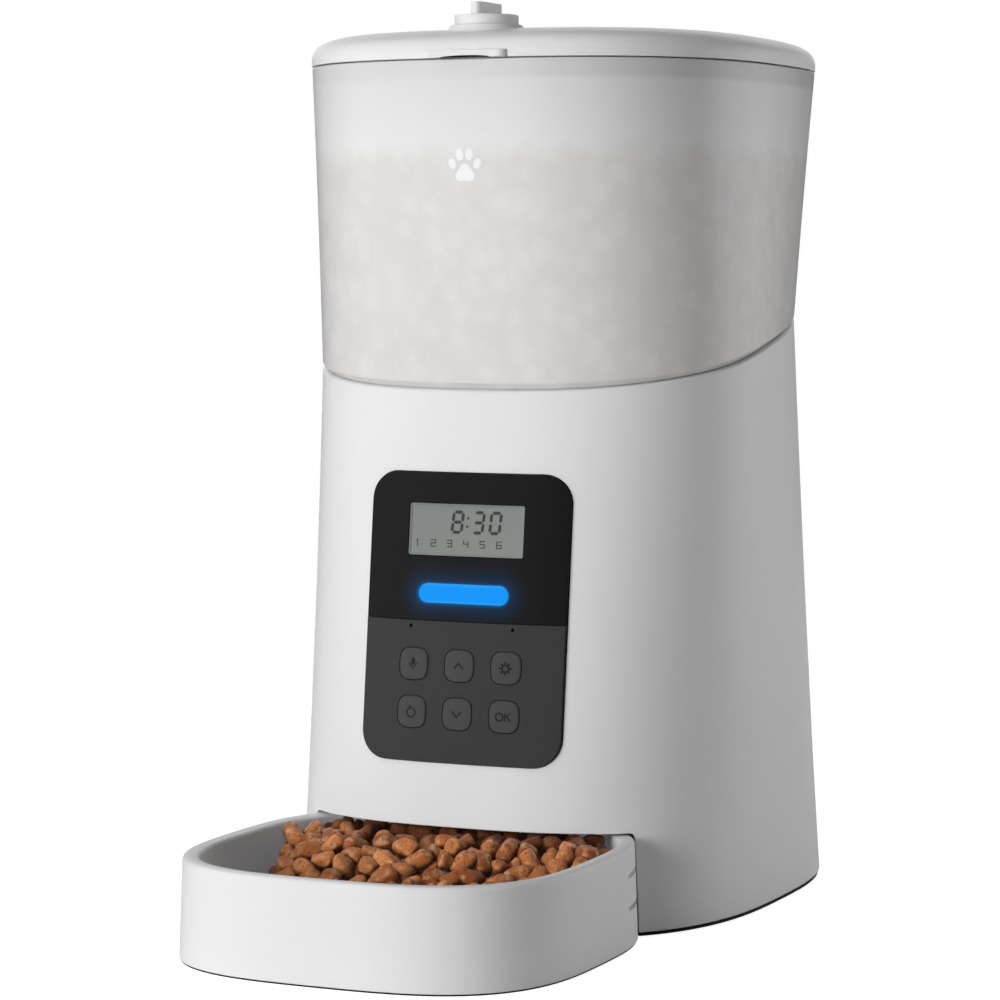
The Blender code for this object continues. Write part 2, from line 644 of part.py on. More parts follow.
def build_tank(mats):
    """The tank's clear shell: collar, funnel and round dispenser chamber in one moulding."""
    waist = WAIST_SECTION
    outer_radius = CHAMBER_RADIUS + TANK_WALL
    chamber = circle(CHAMBER_RADIUS, SEGMENTS)
    sleeve = circle(outer_radius, SEGMENTS)
    rings = [
        level(sleeve, CHAMBER_BOTTOM_Z),
        level(sleeve, CHAMBER_TOP_Z),
        on_seam(superellipse(waist, 5.6), -7.0),
        on_seam(superellipse(waist, 3.0), -5.0),
        on_seam(superellipse(waist, 3.0), GAP),
        on_seam(superellipse(waist, 0.0), GAP),
        level(superellipse(TOP_SECTION, 0.0), TANK_TOP_Z),
        level(superellipse(TOP_SECTION, TANK_WALL), TANK_TOP_Z),
        on_seam(superellipse(waist, TANK_WALL), 4.0),
        on_seam(superellipse(waist, 5.4), 2.0),
        on_seam(superellipse(waist, 8.0), -6.0),
        level(chamber, CHAMBER_TOP_Z + 1.2),
        level(chamber, CHAMBER_BOTTOM_Z),
    ]
    tank = loft("food_tank", rings, mats["tank"], closed=True)
    join(tank, block("lock_catch", (-7.0, -101.8, CATCH_Z - 1.0), (7.0, -95.4, CATCH_Z + 1.6)))
    arm = [
        (97.8, 322.0),
        (HINGE_Y + HINGE_RADIUS, 330.5),
        (HINGE_Y + HINGE_RADIUS, HINGE_Z),
        (HINGE_Y - 2.9, HINGE_Z),
        (100.4, 332.0),
        (97.8, 332.0),
    ]
    knuckle = circle(HINGE_RADIUS, 12, (HINGE_Y, HINGE_Z))
    for number, x in enumerate((-26.0, 26.0)):
        join(tank, side_prism(f"tank_arm_{number}", arm, x - 5, x + 5))
        join(tank, side_prism(f"tank_knuckle_{number}", knuckle, x - 5, x + 5))
    cut(tank, side_prism("tank_pin_hole", circle(PIN_HOLE_RADIUS, 10, (HINGE_Y, HINGE_Z)), -40, 40))
    return tank


def build_dispenser(mats):
    """The chamber's floor with its outlet, the rotor, and the stirrer on it."""
    step = CHAMBER_BOTTOM_Z - GAP
    outer, inner = CHAMBER_RADIUS + TANK_WALL, CHAMBER_RADIUS - 0.4
    profile = ((outer, DECK_TOP_Z + 0.4), (outer, step), (inner, step), (inner, step + 2.0))
    floor = loft("dispenser_floor", [level(circle(r, 40), z) for r, z in profile], mats["white"])
    cut(floor, prism("outlet", rounded_rectangle(-19, -42, 19, -21, 7, 4), 100, 130))
    cut(floor, prism("floor_shaft_hole", circle(7.0, 12), 100, 130))

    hub_radius = 11.0
    half_vane = 1.3
    vane_ends = ((hub_radius, -half_vane), (ROTOR_RADIUS, -half_vane))
    vane_ends += ((ROTOR_RADIUS, half_vane), (hub_radius, half_vane))
    outline = []
    for vane in range(ROTOR_VANES):
        turn = Matrix.Rotation(2 * math.pi * vane / ROTOR_VANES + math.pi / 6, 2)
        outline += [tuple(turn @ Vector(corner)) for corner in vane_ends]
    rotor = prism("dispensing_rotor", outline, 120.8, 148.0, mats["nylon"])
    cut(rotor, prism("rotor_socket", circle(4.9, 6), 110.0, 135.0))

    stirrer = prism("stirrer", circle(7.0, 12), 148.3, 160.0, mats["silicone"])
    for number, angle in enumerate((0.0, math.pi)):
        bends = ((2.6, 0.0, 150.0), (2.6, 17.0, 160.0), (2.0, 27.0, 172.0))
        rings = [level(circle(radius, 8, (reach, 0)), z) for radius, reach, z in bends]
        finger = loft(f"finger_{number}", rings)
        finger.rotation_euler = (0, 0, angle)
        join(stirrer, finger)


# ---------------------------------------------------------------- lid


def scaled(section, share):
    return Section(section.half_x * share, section.half_y * share, section.centre_y, section.power)


def build_lid(mats):
    """A shallow dome with a plug that enters the tank, a pull tab, a seat for the knob and a hinge."""
    top = TOP_SECTION
    over = -LID_OVERHANG
    underside = ((0.30, 345.9), (0.65, 343.6), (0.90, 340.8))
    edge = (
        (6.2, 338.0), (6.4, LID_Z), (8.6, 325.6), (6.6, 325.6), (4.2, LID_Z), (over, LID_Z),
        (over, LID_Z + 3.4), (over + 0.7, LID_Z + 6.6),
        (over + 2.6, LID_Z + 8.9), (over + 6.2, LID_Z + 10.5),
    )
    crown = ((0.86, 344.6), (0.72, 345.6), (0.50, 346.9), (0.25, 348.4))
    rings = [level(superellipse(scaled(top, share)), z) for share, z in underside]
    rings += [level(superellipse(top, inset), z) for inset, z in edge]
    rings += [level(superellipse(scaled(top, share)), z) for share, z in crown]
    lid = loft("lid", rings, mats["white"])
    tab = prism("lid_tab", rounded_rectangle(-17.5, -106.6, 17.5, -96.0, 2.5, 4), LID_Z, LID_Z + 3.4)
    knob = (0.0, KNOB_Y)
    seat = ((16.2, 341.5), (14.5, 344.8), (12.8, 346.4), (12.8, 347.4))
    rings = [level(circle(radius, 24, knob), z) for radius, z in seat]
    join(lid, tab, loft("knob_seat", rings))
    cut(lid, prism("knob_room", circle(13.4, 24, knob), 346.4, 360.0))
    cut(lid, prism("knob_hole", circle(4.3, 12, knob), 330.0, 360.0))
    lug = [(95.0, LID_Z), (100.6, LID_Z), (HINGE_Y, HINGE_Z - 2.9), (HINGE_Y, HINGE_Z + 2.9)]
    lug.append((95.0, LID_Z + 4.5))
    join(lid, side_prism("lid_lug", lug, -20.5, 20.5))
    join(lid, side_prism("lid_knuckle", circle(HINGE_RADIUS, 12, (HINGE_Y, HINGE_Z)), -20.5, 20.5))
    cut(lid, side_prism("lid_pin_hole", circle(PIN_HOLE_RADIUS, 10, (HINGE_Y, HINGE_Z)), -40, 40))
    side_prism("hinge_pin", circle(1.4, 10, (HINGE_Y, HINGE_Z)), -31.5, 31.5, mats["steel"])

    seal = ((5.3, 327.6), (4.1, 328.0), (3.2, 330.8), (4.5, 331.2))
    rings = [level(superellipse(top, inset), z) for inset, z in seal]
    loft("lid_seal", rings, mats["silicone"], closed=True)


def build_lock(mats):
    """The turn knob on the lid and the tongue that it swings under the tank's catch."""
    knob = (0.0, KNOB_Y)
    collar = [level(circle(r, 28, knob), z) for r, z in ((12.4, 346.8), (12.4, 350.0), (12.0, 350.5))]
    dial = loft("lock_knob", collar, mats["white"])
    half_length, half_width = 10.8, 2.3
    bar = rounded_rectangle(
        -half_width, KNOB_Y - half_length, half_width, KNOB_Y + half_length, half_width - 0.02, 4
    )
    join(dial, prism("knob_bar", bar, 350.0, 355.2))
    join(dial, prism("knob_stem", circle(3.9, 12, knob), CATCH_Z - 1.2, 348.0))
    tongue = rounded_rectangle(-5.0, KNOB_Y - 4.0, 17.0, KNOB_Y + 4.0, 3.9, 4)
    prism("lock_tongue", tongue, CATCH_Z - 4.6, CATCH_Z - 1.5, mats["white"])


def build_desiccant(mats):
    """A round box for a drying bag, twisted into the underside of the lid."""
    place = (0.0, DESICCANT_Y)
    outline = circle(24.0, 28, place)
    box = prism("desiccant_box", outline, 334.0, 344.6, mats["white"])
    cut(box, prism("desiccant_hollow", circle(22.4, 28, place), 330.0, 343.0))
    cover = prism("desiccant_cover", outline, 332.0, 333.7, mats["white"])
    half_width, half_length = 1.2, 14.0
    low, high = DESICCANT_Y - half_length, DESICCANT_Y + half_length
    for number in range(5):
        x = 7.0 * (number - 2)
        vent = rounded_rectangle(x - half_width, low, x + half_width, high, half_width - 0.1, 2)
        cut(cover, prism(f"vent_{number}", vent, 330, 340))


def main():
    clear_scene()
    mats = make_materials()
    build_body_shell(mats)
    build_base(mats)
    build_battery_bay(mats)
    build_electrics(mats)
    build_panel(mats)
    build_tray(mats)
    build_drive(mats)
    build_deck(mats)
    build_chute(mats)
    build_tank(mats)
    build_dispenser(mats)
    build_lid(mats)
    build_lock(mats)
    build_desiccant(mats)
    set_pivots()
    shade()
    hang_on_frame()


main()
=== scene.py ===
"""The looks of the automatic pet feeder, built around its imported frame.

Shapes are drawn in millimetres about the housing's vertical axis, with +Z up and the control
panel facing -Y. place() moves them to the row frame, in metres.
"""

import json
import math
import random
from collections import namedtuple

import bmesh
import bpy
import numpy as np
from mathutils import Matrix, Vector, noise


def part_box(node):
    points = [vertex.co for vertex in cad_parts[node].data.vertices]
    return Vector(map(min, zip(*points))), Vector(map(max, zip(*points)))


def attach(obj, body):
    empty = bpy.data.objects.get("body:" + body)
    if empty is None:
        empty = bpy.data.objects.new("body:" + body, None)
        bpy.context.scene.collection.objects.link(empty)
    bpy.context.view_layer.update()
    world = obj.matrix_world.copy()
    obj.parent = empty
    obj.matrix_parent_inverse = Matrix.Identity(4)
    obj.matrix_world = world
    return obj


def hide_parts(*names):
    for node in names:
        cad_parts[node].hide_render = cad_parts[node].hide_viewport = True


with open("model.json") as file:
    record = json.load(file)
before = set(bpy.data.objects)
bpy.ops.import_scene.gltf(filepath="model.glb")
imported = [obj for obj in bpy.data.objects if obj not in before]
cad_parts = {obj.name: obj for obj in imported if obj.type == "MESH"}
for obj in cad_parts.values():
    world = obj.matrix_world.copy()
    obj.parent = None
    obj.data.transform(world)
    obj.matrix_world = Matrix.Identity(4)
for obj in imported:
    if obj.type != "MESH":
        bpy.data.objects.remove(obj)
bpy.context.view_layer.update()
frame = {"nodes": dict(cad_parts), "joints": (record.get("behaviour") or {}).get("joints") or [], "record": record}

MM = 0.001
JOINTS = {joint["name"]: joint for joint in frame["joints"]}
AXIS_Y = JOINTS["rotor_spin"]["pos_m"][1] / MM  # the housing's axis in the row frame

# Plan outlines: half width, half depth, y of the centre, and the superellipse's power
Section = namedtuple("Section", "half_x half_y centre_y power")
BASE_SECTION = Section(95.0, 113.7, -1.6, 2.87)
WAIST_SECTION = Section(91.2, 83.4, -9.5, 2.73)
TOP_SECTION = Section(93.9, 101.5, -2.2, 2.72)
TRAY_SECTION = Section(77.9, 78.7, -147.8, 3.08)
RING = 256

# Housing and tank; the seam between them rises towards the back
WAIST_Z = 226.8
WAIST_RISE = 0.22
WAIST_DIP = 2.0
SHELL_BOTTOM_Z = 1.9
SHELL_WALL = 2.5
TANK_WALL = 2.2
TANK_TOP_Z = 332.6
CHAMBER_RADIUS = 45.8
CHAMBER_TOP_Z = 150.0
CHAMBER_BOTTOM_Z = 118.3
SEAM_GAP = 0.35

# Tray
TRAY_BOTTOM_Z = 0.7
TRAY_TOP_Z = 38.5
TRAY_DRAFT = 1.3
TRAY_WALL = 6.0
TRAY_FLOOR_Z = 3.7
SKIRT_Z = 39.4  # the housing's lower edge above the tray
GROOVE_HEIGHTS = (15.4, 27.6)  # the finger grooves on its two sides
GROOVE_FRONT_Y = -119.0
GROOVE_BACK_Y = -84.0

# Control panel: x is from its middle, z from the floor, depths are outwards from the housing
PANEL_HALF_WIDTH = 42.0
PANEL_BOTTOM_Z = 63.9
PANEL_TOP_Z = 174.8
PANEL_CORNER = 11.0
PANEL_SPLIT_Z = 118.1
PANEL_PROUD = 1.4
LCD_HALF_WIDTH = 24.3
LCD_BOTTOM_Z = 142.9
LCD_TOP_Z = 163.0
LIGHT_HALF_WIDTH = 19.1
LIGHT_HALF_HEIGHT = 3.8
LIGHT_Z = 128.5
KEY_PITCH = 19.5
KEY_TOP_Z = 101.2
KEY_LOW_Z = 82.8
KEY_HALF = 6.2
KEY_POWER = 3.2
KEY_PROUD = 2.0
KEY_CLEARANCE = 0.12
MIC_X = 21.5
MIC_Z = 115.8
LCD_FACE = 0.75
KEYS = {
    "record": (-KEY_PITCH, KEY_TOP_Z), "up": (0.0, KEY_TOP_Z), "settings": (KEY_PITCH, KEY_TOP_Z),
    "feed": (-KEY_PITCH, KEY_LOW_Z), "down": (0.0, KEY_LOW_Z), "ok": (KEY_PITCH, KEY_LOW_Z),
}

# Lid
LID_Z = 333.1
KNOB_Y = -80.3
HINGE_Y = 103.4
HINGE_Z = 334.0
HINGE_RADIUS = 3.0
PIN_HOLE_RADIUS = 1.75

# Kibble: the heap in the tray, and the line up to which it fills the tank
KIBBLE_RADIUS = 3.7
STORED_RADIUS = 4.0
HEAP_Z = 35.2
HEAP_BACK_Y = -81.5  # the bowl's back wall is a lump's radius further back
KIBBLE_LINE_Z = 299.0

# Camera, in metres and degrees
CAMERA_AT = (0.5517, -1.2237, 0.2595)
CAMERA_DIP = 4.16
CAMERA_TURN = 24.456
CAMERA_LENS_MM = 122.63
SENSOR_MM = 36.0

# Studio lights: name, azimuth from the front towards +X, elevation, width, height, watts, and
# whether it is only seen mirrored in shiny surfaces
LIGHT_DISTANCE = 2.0
LIGHTS = (
    ("key", -20.0, 5.0, 1.0, 1.0, 32.6, False),
    ("key_high", -38.0, 45.0, 1.0, 1.0, 5.7, False),
    ("top", 0.0, 90.0, 1.0, 1.0, 4.8, False),
    ("rim", 131.0, 5.0, 1.0, 1.0, 16.2, False),
    ("back", 203.0, 20.0, 1.0, 1.0, 9.0, False),
    ("front_reflection", -52.0, 4.0, 1.7, 1.6, 9.5, True),
    ("side_reflection", 133.0, 4.0, 1.9, 1.6, 11.0, True),
    ("back_reflection", 204.0, 24.0, 2.2, 1.1, 10.0, True),
)


# ---- meshes


def place(points):
    """Points about the housing's axis, in millimetres, as row-frame points in metres."""
    return (np.asarray(points, float) + (0.0, AXIS_Y, 0.0)) * MM


def add_object(name, data):
    obj = bpy.data.objects.new(name, data)
    bpy.context.scene.collection.objects.link(obj)
    return obj


def add_mesh(name, points, faces, material, sharp_degrees=38.0):
    mesh = bpy.data.meshes.new(name)
    mesh.from_pydata([Vector(p) for p in place(points)], [], faces)
    work = bmesh.new()
    work.from_mesh(mesh)
    bmesh.ops.recalc_face_normals(work, faces=work.faces)
    work.to_mesh(mesh)
    work.free()
    if material:
        mesh.materials.append(MATERIALS[material])
    obj = add_object(name, mesh)
    smooth(obj, sharp_degrees)
    return obj


def smooth(obj, sharp_degrees=38.0):
    obj.data.shade_smooth()
    obj.data.set_sharp_from_angle(angle=math.radians(sharp_degrees))


def turns(count):
    return np.linspace(0, 2 * np.pi, count, endpoint=False)


def around(angle, radius, centre=(0.0, 0.0)):
    """Points at angles in radians and at a radius, or at a radius for each."""
    return np.stack([radius * np.cos(angle), radius * np.sin(angle)], 1) + centre


def outline(section, inset=0.0, count=RING):
    """A superellipse's points at even angles about its centre, anticlockwise from +X."""
    angle = turns(count)
    cosine = np.abs(np.cos(angle) / (section.half_x - inset)) ** section.power
    sine = np.abs(np.sin(angle) / (section.half_y - inset)) ** section.power
    return around(angle, (cosine + sine) ** (-1 / section.power), (0.0, section.centre_y))


def scaled(section, share):
    return Section(section.half_x * share, section.half_y * share, section.centre_y, section.power)


def circle(radius, count=RING, centre=(0.0, 0.0)):
    return around(turns(count), radius, centre)


def rounded_rectangle(x0, y0, x1, y1, radius, per_corner=10):
    points = []
    for x, y, quarter in ((x1, y1, 0), (x0, y1, 1), (x0, y0, 2), (x1, y0, 3)):
        centre_x = x - math.copysign(radius, x - (x0 + x1) / 2)
        centre_y = y - math.copysign(radius, y - (y0 + y1) / 2)
        for i in range(per_corner + 1):
            angle = math.pi / 2 * (quarter + i / per_corner)
            points.append((centre_x + radius * math.cos(angle), centre_y + radius * math.sin(angle)))
    return np.array(points)


def level(points, z):
    return np.column_stack([points, np.full(len(points), float(z))])


def plan_rings(section, pairs):
    """A section's outlines, one for each (inset, z)."""
    return [level(outline(section, inset), z) for inset, z in pairs]


def round_rings(pairs, count, centre):
    """Circles, one for each (radius, z)."""
    return [level(circle(radius, count, centre), z) for radius, z in pairs]


def on_seam(points, above=0.0):
    """Lifts a plan outline to the tilted seam, which dips at its two sides."""
    dip = WAIST_DIP * (np.abs(points[:, 0]) / WAIST_SECTION.half_x) ** 6
    return np.column_stack([points, WAIST_Z + WAIST_RISE * points[:, 1] + above - dip])


def body_ring(inset, height):
    """The housing's outline at a height along its wall, 0 at the floor and WAIST_Z at the seam."""
    low = level(outline(BASE_SECTION, inset), 0.0)
    return low + (on_seam(outline(WAIST_SECTION, inset)) - low) * height / WAIST_Z


def tank_ring(inset, height):
    """The tank's outline at a height along its wall, from 0 at the seam up to its rim."""
    low = on_seam(outline(WAIST_SECTION, inset))
    high = level(outline(TOP_SECTION, inset), TANK_TOP_Z)
    return low + (high - low) * height / (TANK_TOP_Z - WAIST_Z)


def edge_y(section, x):
    """y of an outline's front edge."""
    bulge = (1 - abs(x / section.half_x) ** section.power) ** (1 / section.power)
    return section.centre_y - section.half_y * bulge


def front_y(x, z):
    """y of the housing's front surface at a place on the control panel."""
    low, high = edge_y(BASE_SECTION, x), edge_y(WAIST_SECTION, x)
    return low + (high - low) * z / (WAIST_Z + WAIST_RISE * high)


def tank_front_y(x, z):
    """y of the tank's front surface."""
    low, high = edge_y(WAIST_SECTION, x), edge_y(TOP_SECTION, x)
    seam_z = WAIST_Z + WAIST_RISE * low
    return low + (high - low) * (z - seam_z) / (TANK_TOP_Z - seam_z)


def profile(corners, closed=False, steps=6, longest=12.0):
    """Points along a line of corners (u, v, reach), each rounded off from reach before it to reach
    after it, and no two points further apart than longest."""
    points = []
    for i, (u, v, reach) in enumerate(corners):
        here = np.array((u, v), float)
        if reach == 0 or (not closed and i in (0, len(corners) - 1)):
            points.append(here)
            continue
        ends = []
        for other in (corners[i - 1], corners[(i + 1) % len(corners)]):
            away = np.array(other[:2], float) - here
            length = np.linalg.norm(away)
            ends.append(here + away / length * min(reach, 0.48 * length))
        for t in np.linspace(0, 1, steps + 1):
            points.append((1 - t) ** 2 * ends[0] + 2 * t * (1 - t) * here + t * t * ends[1])
    found = []
    last = len(points) if closed else len(points) - 1
    for i in range(last):
        start, end = points[i], points[(i + 1) % len(points)]
        pieces = max(1, math.ceil(np.linalg.norm(end - start) / longest))
        found += [start + (end - start) * k / pieces for k in range(pieces)]
    return found if closed else found + [points[-1]]


def loft(name, rings, material=None, closed=False):
    """Skins rings of equally many points; the ends are capped, or joined to each other if closed."""
    count = len(rings[0])
    faces = []
    pairs = list(zip(range(len(rings)), range(1, len(rings))))
    if closed:
        pairs.append((len(rings) - 1, 0))
    else:
        faces += [list(range(count))[::-1], [(len(rings) - 1) * count + i for i in range(count)]]
    for a, b in pairs:
        for i in range(count):
            j = (i + 1) % count
            faces.append([a * count + i, a * count + j, b * count + j, b * count + i])
    return add_mesh(name, np.concatenate(rings), faces, material)


def smooth_rings(keys, per=5):
    """Rings along a smooth curve through the key rings, point by point."""
    rings = []
    for i in range(len(keys) - 1):
        a, b, c, d = keys[max(i - 1, 0)], keys[i], keys[i + 1], keys[min(i + 2, len(keys) - 1)]
        square, cube = 2 * a - 5 * b + 4 * c - d, 3 * b - a - 3 * c + d
        for t in np.arange(per) / per:
            rings.append(0.5 * (2 * b + (c - a) * t + square * t**2 + cube * t**3))
    return rings + [keys[-1]]


def prism(points, z0, z1, edge=0.0):
    """A vertical prism over an outline whose rim is rounded by drawing it in towards its middle."""
    middle = points.mean(0)
    half = np.abs(points - middle).max()
    rings = []
    for inset, z in profile([(0, z0, 0), (0, z1, edge), (half, z1, 0)], longest=1000):
        rings.append(level(middle + (points - middle) * (1 - min(inset, 0.9 * half) / half), z))
    return loft("tool", rings if edge else rings[:2])


def node_box(node):
    """A CAD node's lowest and highest corners, in millimetres about the housing's axis."""
    return [np.array(corner) / MM - (0.0, AXIS_Y, 0.0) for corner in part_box(node)]


def drill(node, radius, top, count):
    """A round tool at a CAD node, from below the floor up to a height."""
    low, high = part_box(node)
    middle = (low + high) / (2 * MM)
    return prism(circle(radius, count, (middle.x, middle.y - AXIS_Y)), -1.0, top)


def along_y(points, y0, y1, name="tool", material=None):
    """A prism over an outline in x and z."""
    return loft(name, [[(x, y, z) for x, z in points] for y in (y0, y1)], material)


def along_x(points, x0, x1):
    """A prism over an outline in y and z."""
    return loft("tool", [[(x, y, z) for y, z in points] for x in (x0, x1)])


def combine(obj, operation, *tools):
    """Applies a Boolean with each tool, and removes the tools."""
    for tool in tools:
        modifier = obj.modifiers.new(tool.name, "BOOLEAN")
        modifier.operation = operation
        modifier.object = tool
    bpy.context.view_layer.update()
    solved = obj.evaluated_get(bpy.context.evaluated_depsgraph_get())
    mesh = bpy.data.meshes.new_from_object(solved)
    obj.modifiers.clear()
    obj.data = mesh
    for tool in tools:
        bpy.data.objects.remove(tool)
    return obj


def soften(obj, chosen, width):
    """Rounds the sharp edges whose middle point the test chosen(x, y, z) picks, in millimetres."""
    work = bmesh.new()
    work.from_mesh(obj.data)
    bmesh.ops.remove_doubles(work, verts=work.verts, dist=0.02 * MM)
    edges = []
    for edge in work.edges:
        if len(edge.link_faces) == 2 and edge.calc_face_angle() > math.radians(45):
            middle = (edge.verts[0].co + edge.verts[1].co) / (2 * MM)
            if chosen(middle.x, middle.y - AXIS_Y, middle.z):
                edges.append(edge)
    bmesh.ops.bevel(
        work, geom=edges, offset=width * MM, segments=3, profile=0.5, affect="EDGES", clamp_overlap=False
    )
    work.to_mesh(obj.data)
    work.free()


def even_normals(obj):
    """Keeps the broad faces' shading flat beside the narrow faces that round their edges."""
    modifier = obj.modifiers.new("even_normals", "WEIGHTED_NORMAL")
    modifier.keep_sharp = True
    return obj


def front_sheet(name, boundaries, levels, material, surface=front_y, column=4.0):
    """A plate that lies on a front surface. Each boundary gives its outline in x and z at an inset;
    levels are (inset, height above the surface), from the plate's back to its front."""
    work = bmesh.new()
    stacks = [
        [[work.verts.new((x, z, height)) for x, z in boundary(inset)] for inset, height in levels]
        for boundary in boundaries
    ]
    for end in (0, -1):
        rims = [stack[end] for stack in stacks]
        edges = [work.edges.new((rim[i - 1], rim[i])) for rim in rims for i in range(len(rim))]
        bmesh.ops.triangle_fill(work, use_beauty=True, use_dissolve=False, edges=edges)
    for stack in stacks:
        for low, high in zip(stack, stack[1:]):
            for i in range(len(low)):
                work.faces.new([low[i - 1], low[i], high[i], high[i - 1]])
    across = [v.co.x for v in work.verts]
    for x in np.arange(math.floor(min(across) / column) + 1, math.ceil(max(across) / column)) * column:
        geometry = work.verts[:] + work.edges[:] + work.faces[:]
        bmesh.ops.bisect_plane(work, geom=geometry, dist=1e-5, plane_co=(x, 0, 0), plane_no=(1, 0, 0))
    work.verts.index_update()
    points = [(x, surface(x, z) - height, z) for x, z, height in (v.co for v in work.verts)]
    faces = [[v.index for v in face.verts] for face in work.faces]
    work.free()
    return even_normals(add_mesh(name, points, faces, material, 35.0))


def settle(obj, *said, sharp_degrees=38.0):
    """Shades a solid that was cut or joined, and dresses it."""
    smooth(obj, sharp_degrees)
    even_normals(obj)
    dress(obj, *said)


def dress(obj, body, slot, *replaced):
    """Says which body a piece rides on and hides the CAD nodes that it stands for; slot, the finish it takes, is
    not used.
    """
    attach(obj, body)
    if replaced:
        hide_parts(*replaced)
    return obj


# ---- materials


class Finish:
    """A material under construction, with short calls for the nodes that its shader is fed from."""

    def __init__(self, name):
        self.material = bpy.data.materials.new(name)
        self.material.use_nodes = True
        self.tree = self.material.node_tree
        self.shader = self.tree.nodes["Principled BSDF"]
        self.at = self.node("TexCoord").outputs["Object"]

    def node(self, kind, inputs=(), **settings):
        """A new node; inputs gives its sockets' values, each a constant or another node's output."""
        node = self.tree.nodes.new("ShaderNode" + kind)
        for key, value in settings.items():
            setattr(node, key, value)
        self.feed(node, inputs)
        return node

    def feed(self, node, inputs):
        for key, value in dict(inputs).items():
            socket = node.inputs[key]
            if isinstance(value, bpy.types.NodeSocket):
                self.tree.links.new(value, socket)
            else:
                socket.default_value = (*value, 1.0) if socket.type == "RGBA" else value

    def axes(self):
        """The place on the surface as x, y and z, in metres in the row frame."""
        return self.node("SeparateXYZ", {0: self.at}).outputs

    def noise(self, scale, detail=2.0, stretch=None):
        """A noise texture's factor; scale is in features per metre."""
        at = self.at
        if stretch:
            at = self.node("Mapping", {"Scale": stretch, "Vector": at}).outputs[0]
        return self.node("TexNoise", {"Scale": scale, "Detail": detail, "Vector": at}).outputs["Fac"]

    def remap(self, value, low, high, from_low=0.0, from_high=1.0):
        limits = {"From Min": from_low, "From Max": from_high, "To Min": low, "To Max": high}
        return self.node("MapRange", {"Value": value, **limits}).outputs["Result"]

    def rise(self, value, start, end):
        return self.remap(value, 0.0, 1.0, start, end)

    def fall(self, value, start, end):
        return self.remap(value, 1.0, 0.0, start, end)

    def mix(self, factor, first, second):
        """A mix of two colours, each a tuple or another node's output."""
        return self.node("Mix", {"Factor": factor, 6: first, 7: second}, data_type="RGBA").outputs[2]

    def math(self, operation, *values):
        return self.node("Math", enumerate(values), operation=operation).outputs[0]

    def done(self, inputs, height=None, depth_mm=0.0):
        """Feeds the shader, adds the relief and gives the material."""
        self.feed(self.shader, inputs)
        if height is not None:
            bump = self.node("Bump", {"Strength": 1.0, "Distance": depth_mm * MM, "Height": height})
            self.feed(self.shader, {"Normal": bump.outputs["Normal"]})
        return self.material


def grey(value):
    return (value, value, value)


def moulded(name, colour, roughness, *, tint=0.02, grain_mm=0.9, depth_mm=0.004, metallic=0.0,
            specular=0.5, stretch=None):
    """A plain moulded or cast surface: slow tint changes, and a fine grain in gloss and relief."""
    mat = Finish(name)
    grain = mat.noise(1 / (grain_mm * MM), 2.0, stretch)
    darker = tuple(c * (1 - tint) for c in colour)
    lighter = tuple(min(1.0, c * (1 + tint)) for c in colour)
    return mat.done({
        "Base Color": mat.mix(mat.noise(22.0, 3.0), darker, lighter),
        "Roughness": mat.remap(grain, roughness - 0.05, roughness + 0.05, 0.3, 0.7),
        "Metallic": metallic,
        "Specular IOR Level": specular,
    }, grain, depth_mm)


def window_material():
    """Polished black, with a painted blue glow in the plastic around the status light."""
    mat = Finish("window_black")
    grain = mat.noise(900.0)
    x, _, z = mat.axes()
    straight = (LIGHT_HALF_WIDTH - LIGHT_HALF_HEIGHT) * MM
    across = mat.math("SUBTRACT", mat.math("ABSOLUTE", x), straight)
    across = mat.math("MAXIMUM", across, 0.0)
    above = mat.math("SUBTRACT", z, LIGHT_Z * MM)
    squares = mat.math("ADD", mat.math("POWER", across, 2.0), mat.math("POWER", above, 2.0))
    distance = mat.math("SUBTRACT", mat.math("SQRT", squares), LIGHT_HALF_HEIGHT * MM)
    # painted glow: blue emission that fades with distance from the status light
    painted_glows = []
    for reach, power, strength in ((0.0013, 2.0, 0.16), (0.011, 2.6, 0.07)):
        falling = mat.fall(distance, 0.0, reach)
        painted_glows.append(mat.math("MULTIPLY", mat.math("POWER", falling, power), strength))
    return mat.done({
        "Base Color": mat.mix(mat.noise(30.0), (0.0125, 0.0125, 0.013), (0.0145, 0.0145, 0.015)),
        "Roughness": mat.remap(grain, 0.2, 0.26),
        "Emission Color": (0.0, 0.33, 1.0),
        "Emission Strength": mat.math("ADD", *painted_glows),
        "Specular IOR Level": 0.06,
    }, grain, 0.002)


def light_material():
    """A lit blue light guide, a little paler along its edge."""
    mat = Finish("status_light_blue")
    above = mat.math("ABSOLUTE", mat.math("SUBTRACT", mat.axes()["Z"], LIGHT_Z * MM))
    mottle = mat.noise(150.0)
    core = mat.mix(mottle, (0.005, 0.30, 0.97), (0.007, 0.315, 0.97))
    edge = mat.rise(above, 0.0025, 0.0038)
    return mat.done({
        "Emission Color": mat.mix(edge, core, (0.03, 0.38, 0.98)),
        "Emission Strength": 0.95,
        "Base Color": (0.0, 0.01, 0.03),
        "Specular IOR Level": 0.1,
        "Roughness": mat.remap(mottle, 0.35, 0.45),
    })


def lcd_material():
    """Grey-green display glass, darker towards its upper left."""
    mat = Finish("display_glass")
    x, _, z = mat.axes()
    steepness, reach = 1.4, 0.034
    slope = mat.math("SUBTRACT", x, mat.math("MULTIPLY", z, steepness))
    middle = -steepness * (LCD_BOTTOM_Z + LCD_TOP_Z) / 2 * MM
    share = mat.rise(slope, middle - reach, middle + reach)
    grain = mat.noise(2500.0)
    return mat.done({
        "Base Color": mat.mix(share, (0.222, 0.240, 0.232), (0.262, 0.284, 0.268)),
        "Roughness": mat.remap(grain, 0.38, 0.5),
        "Specular IOR Level": 0.2,
    }, grain, 0.001)


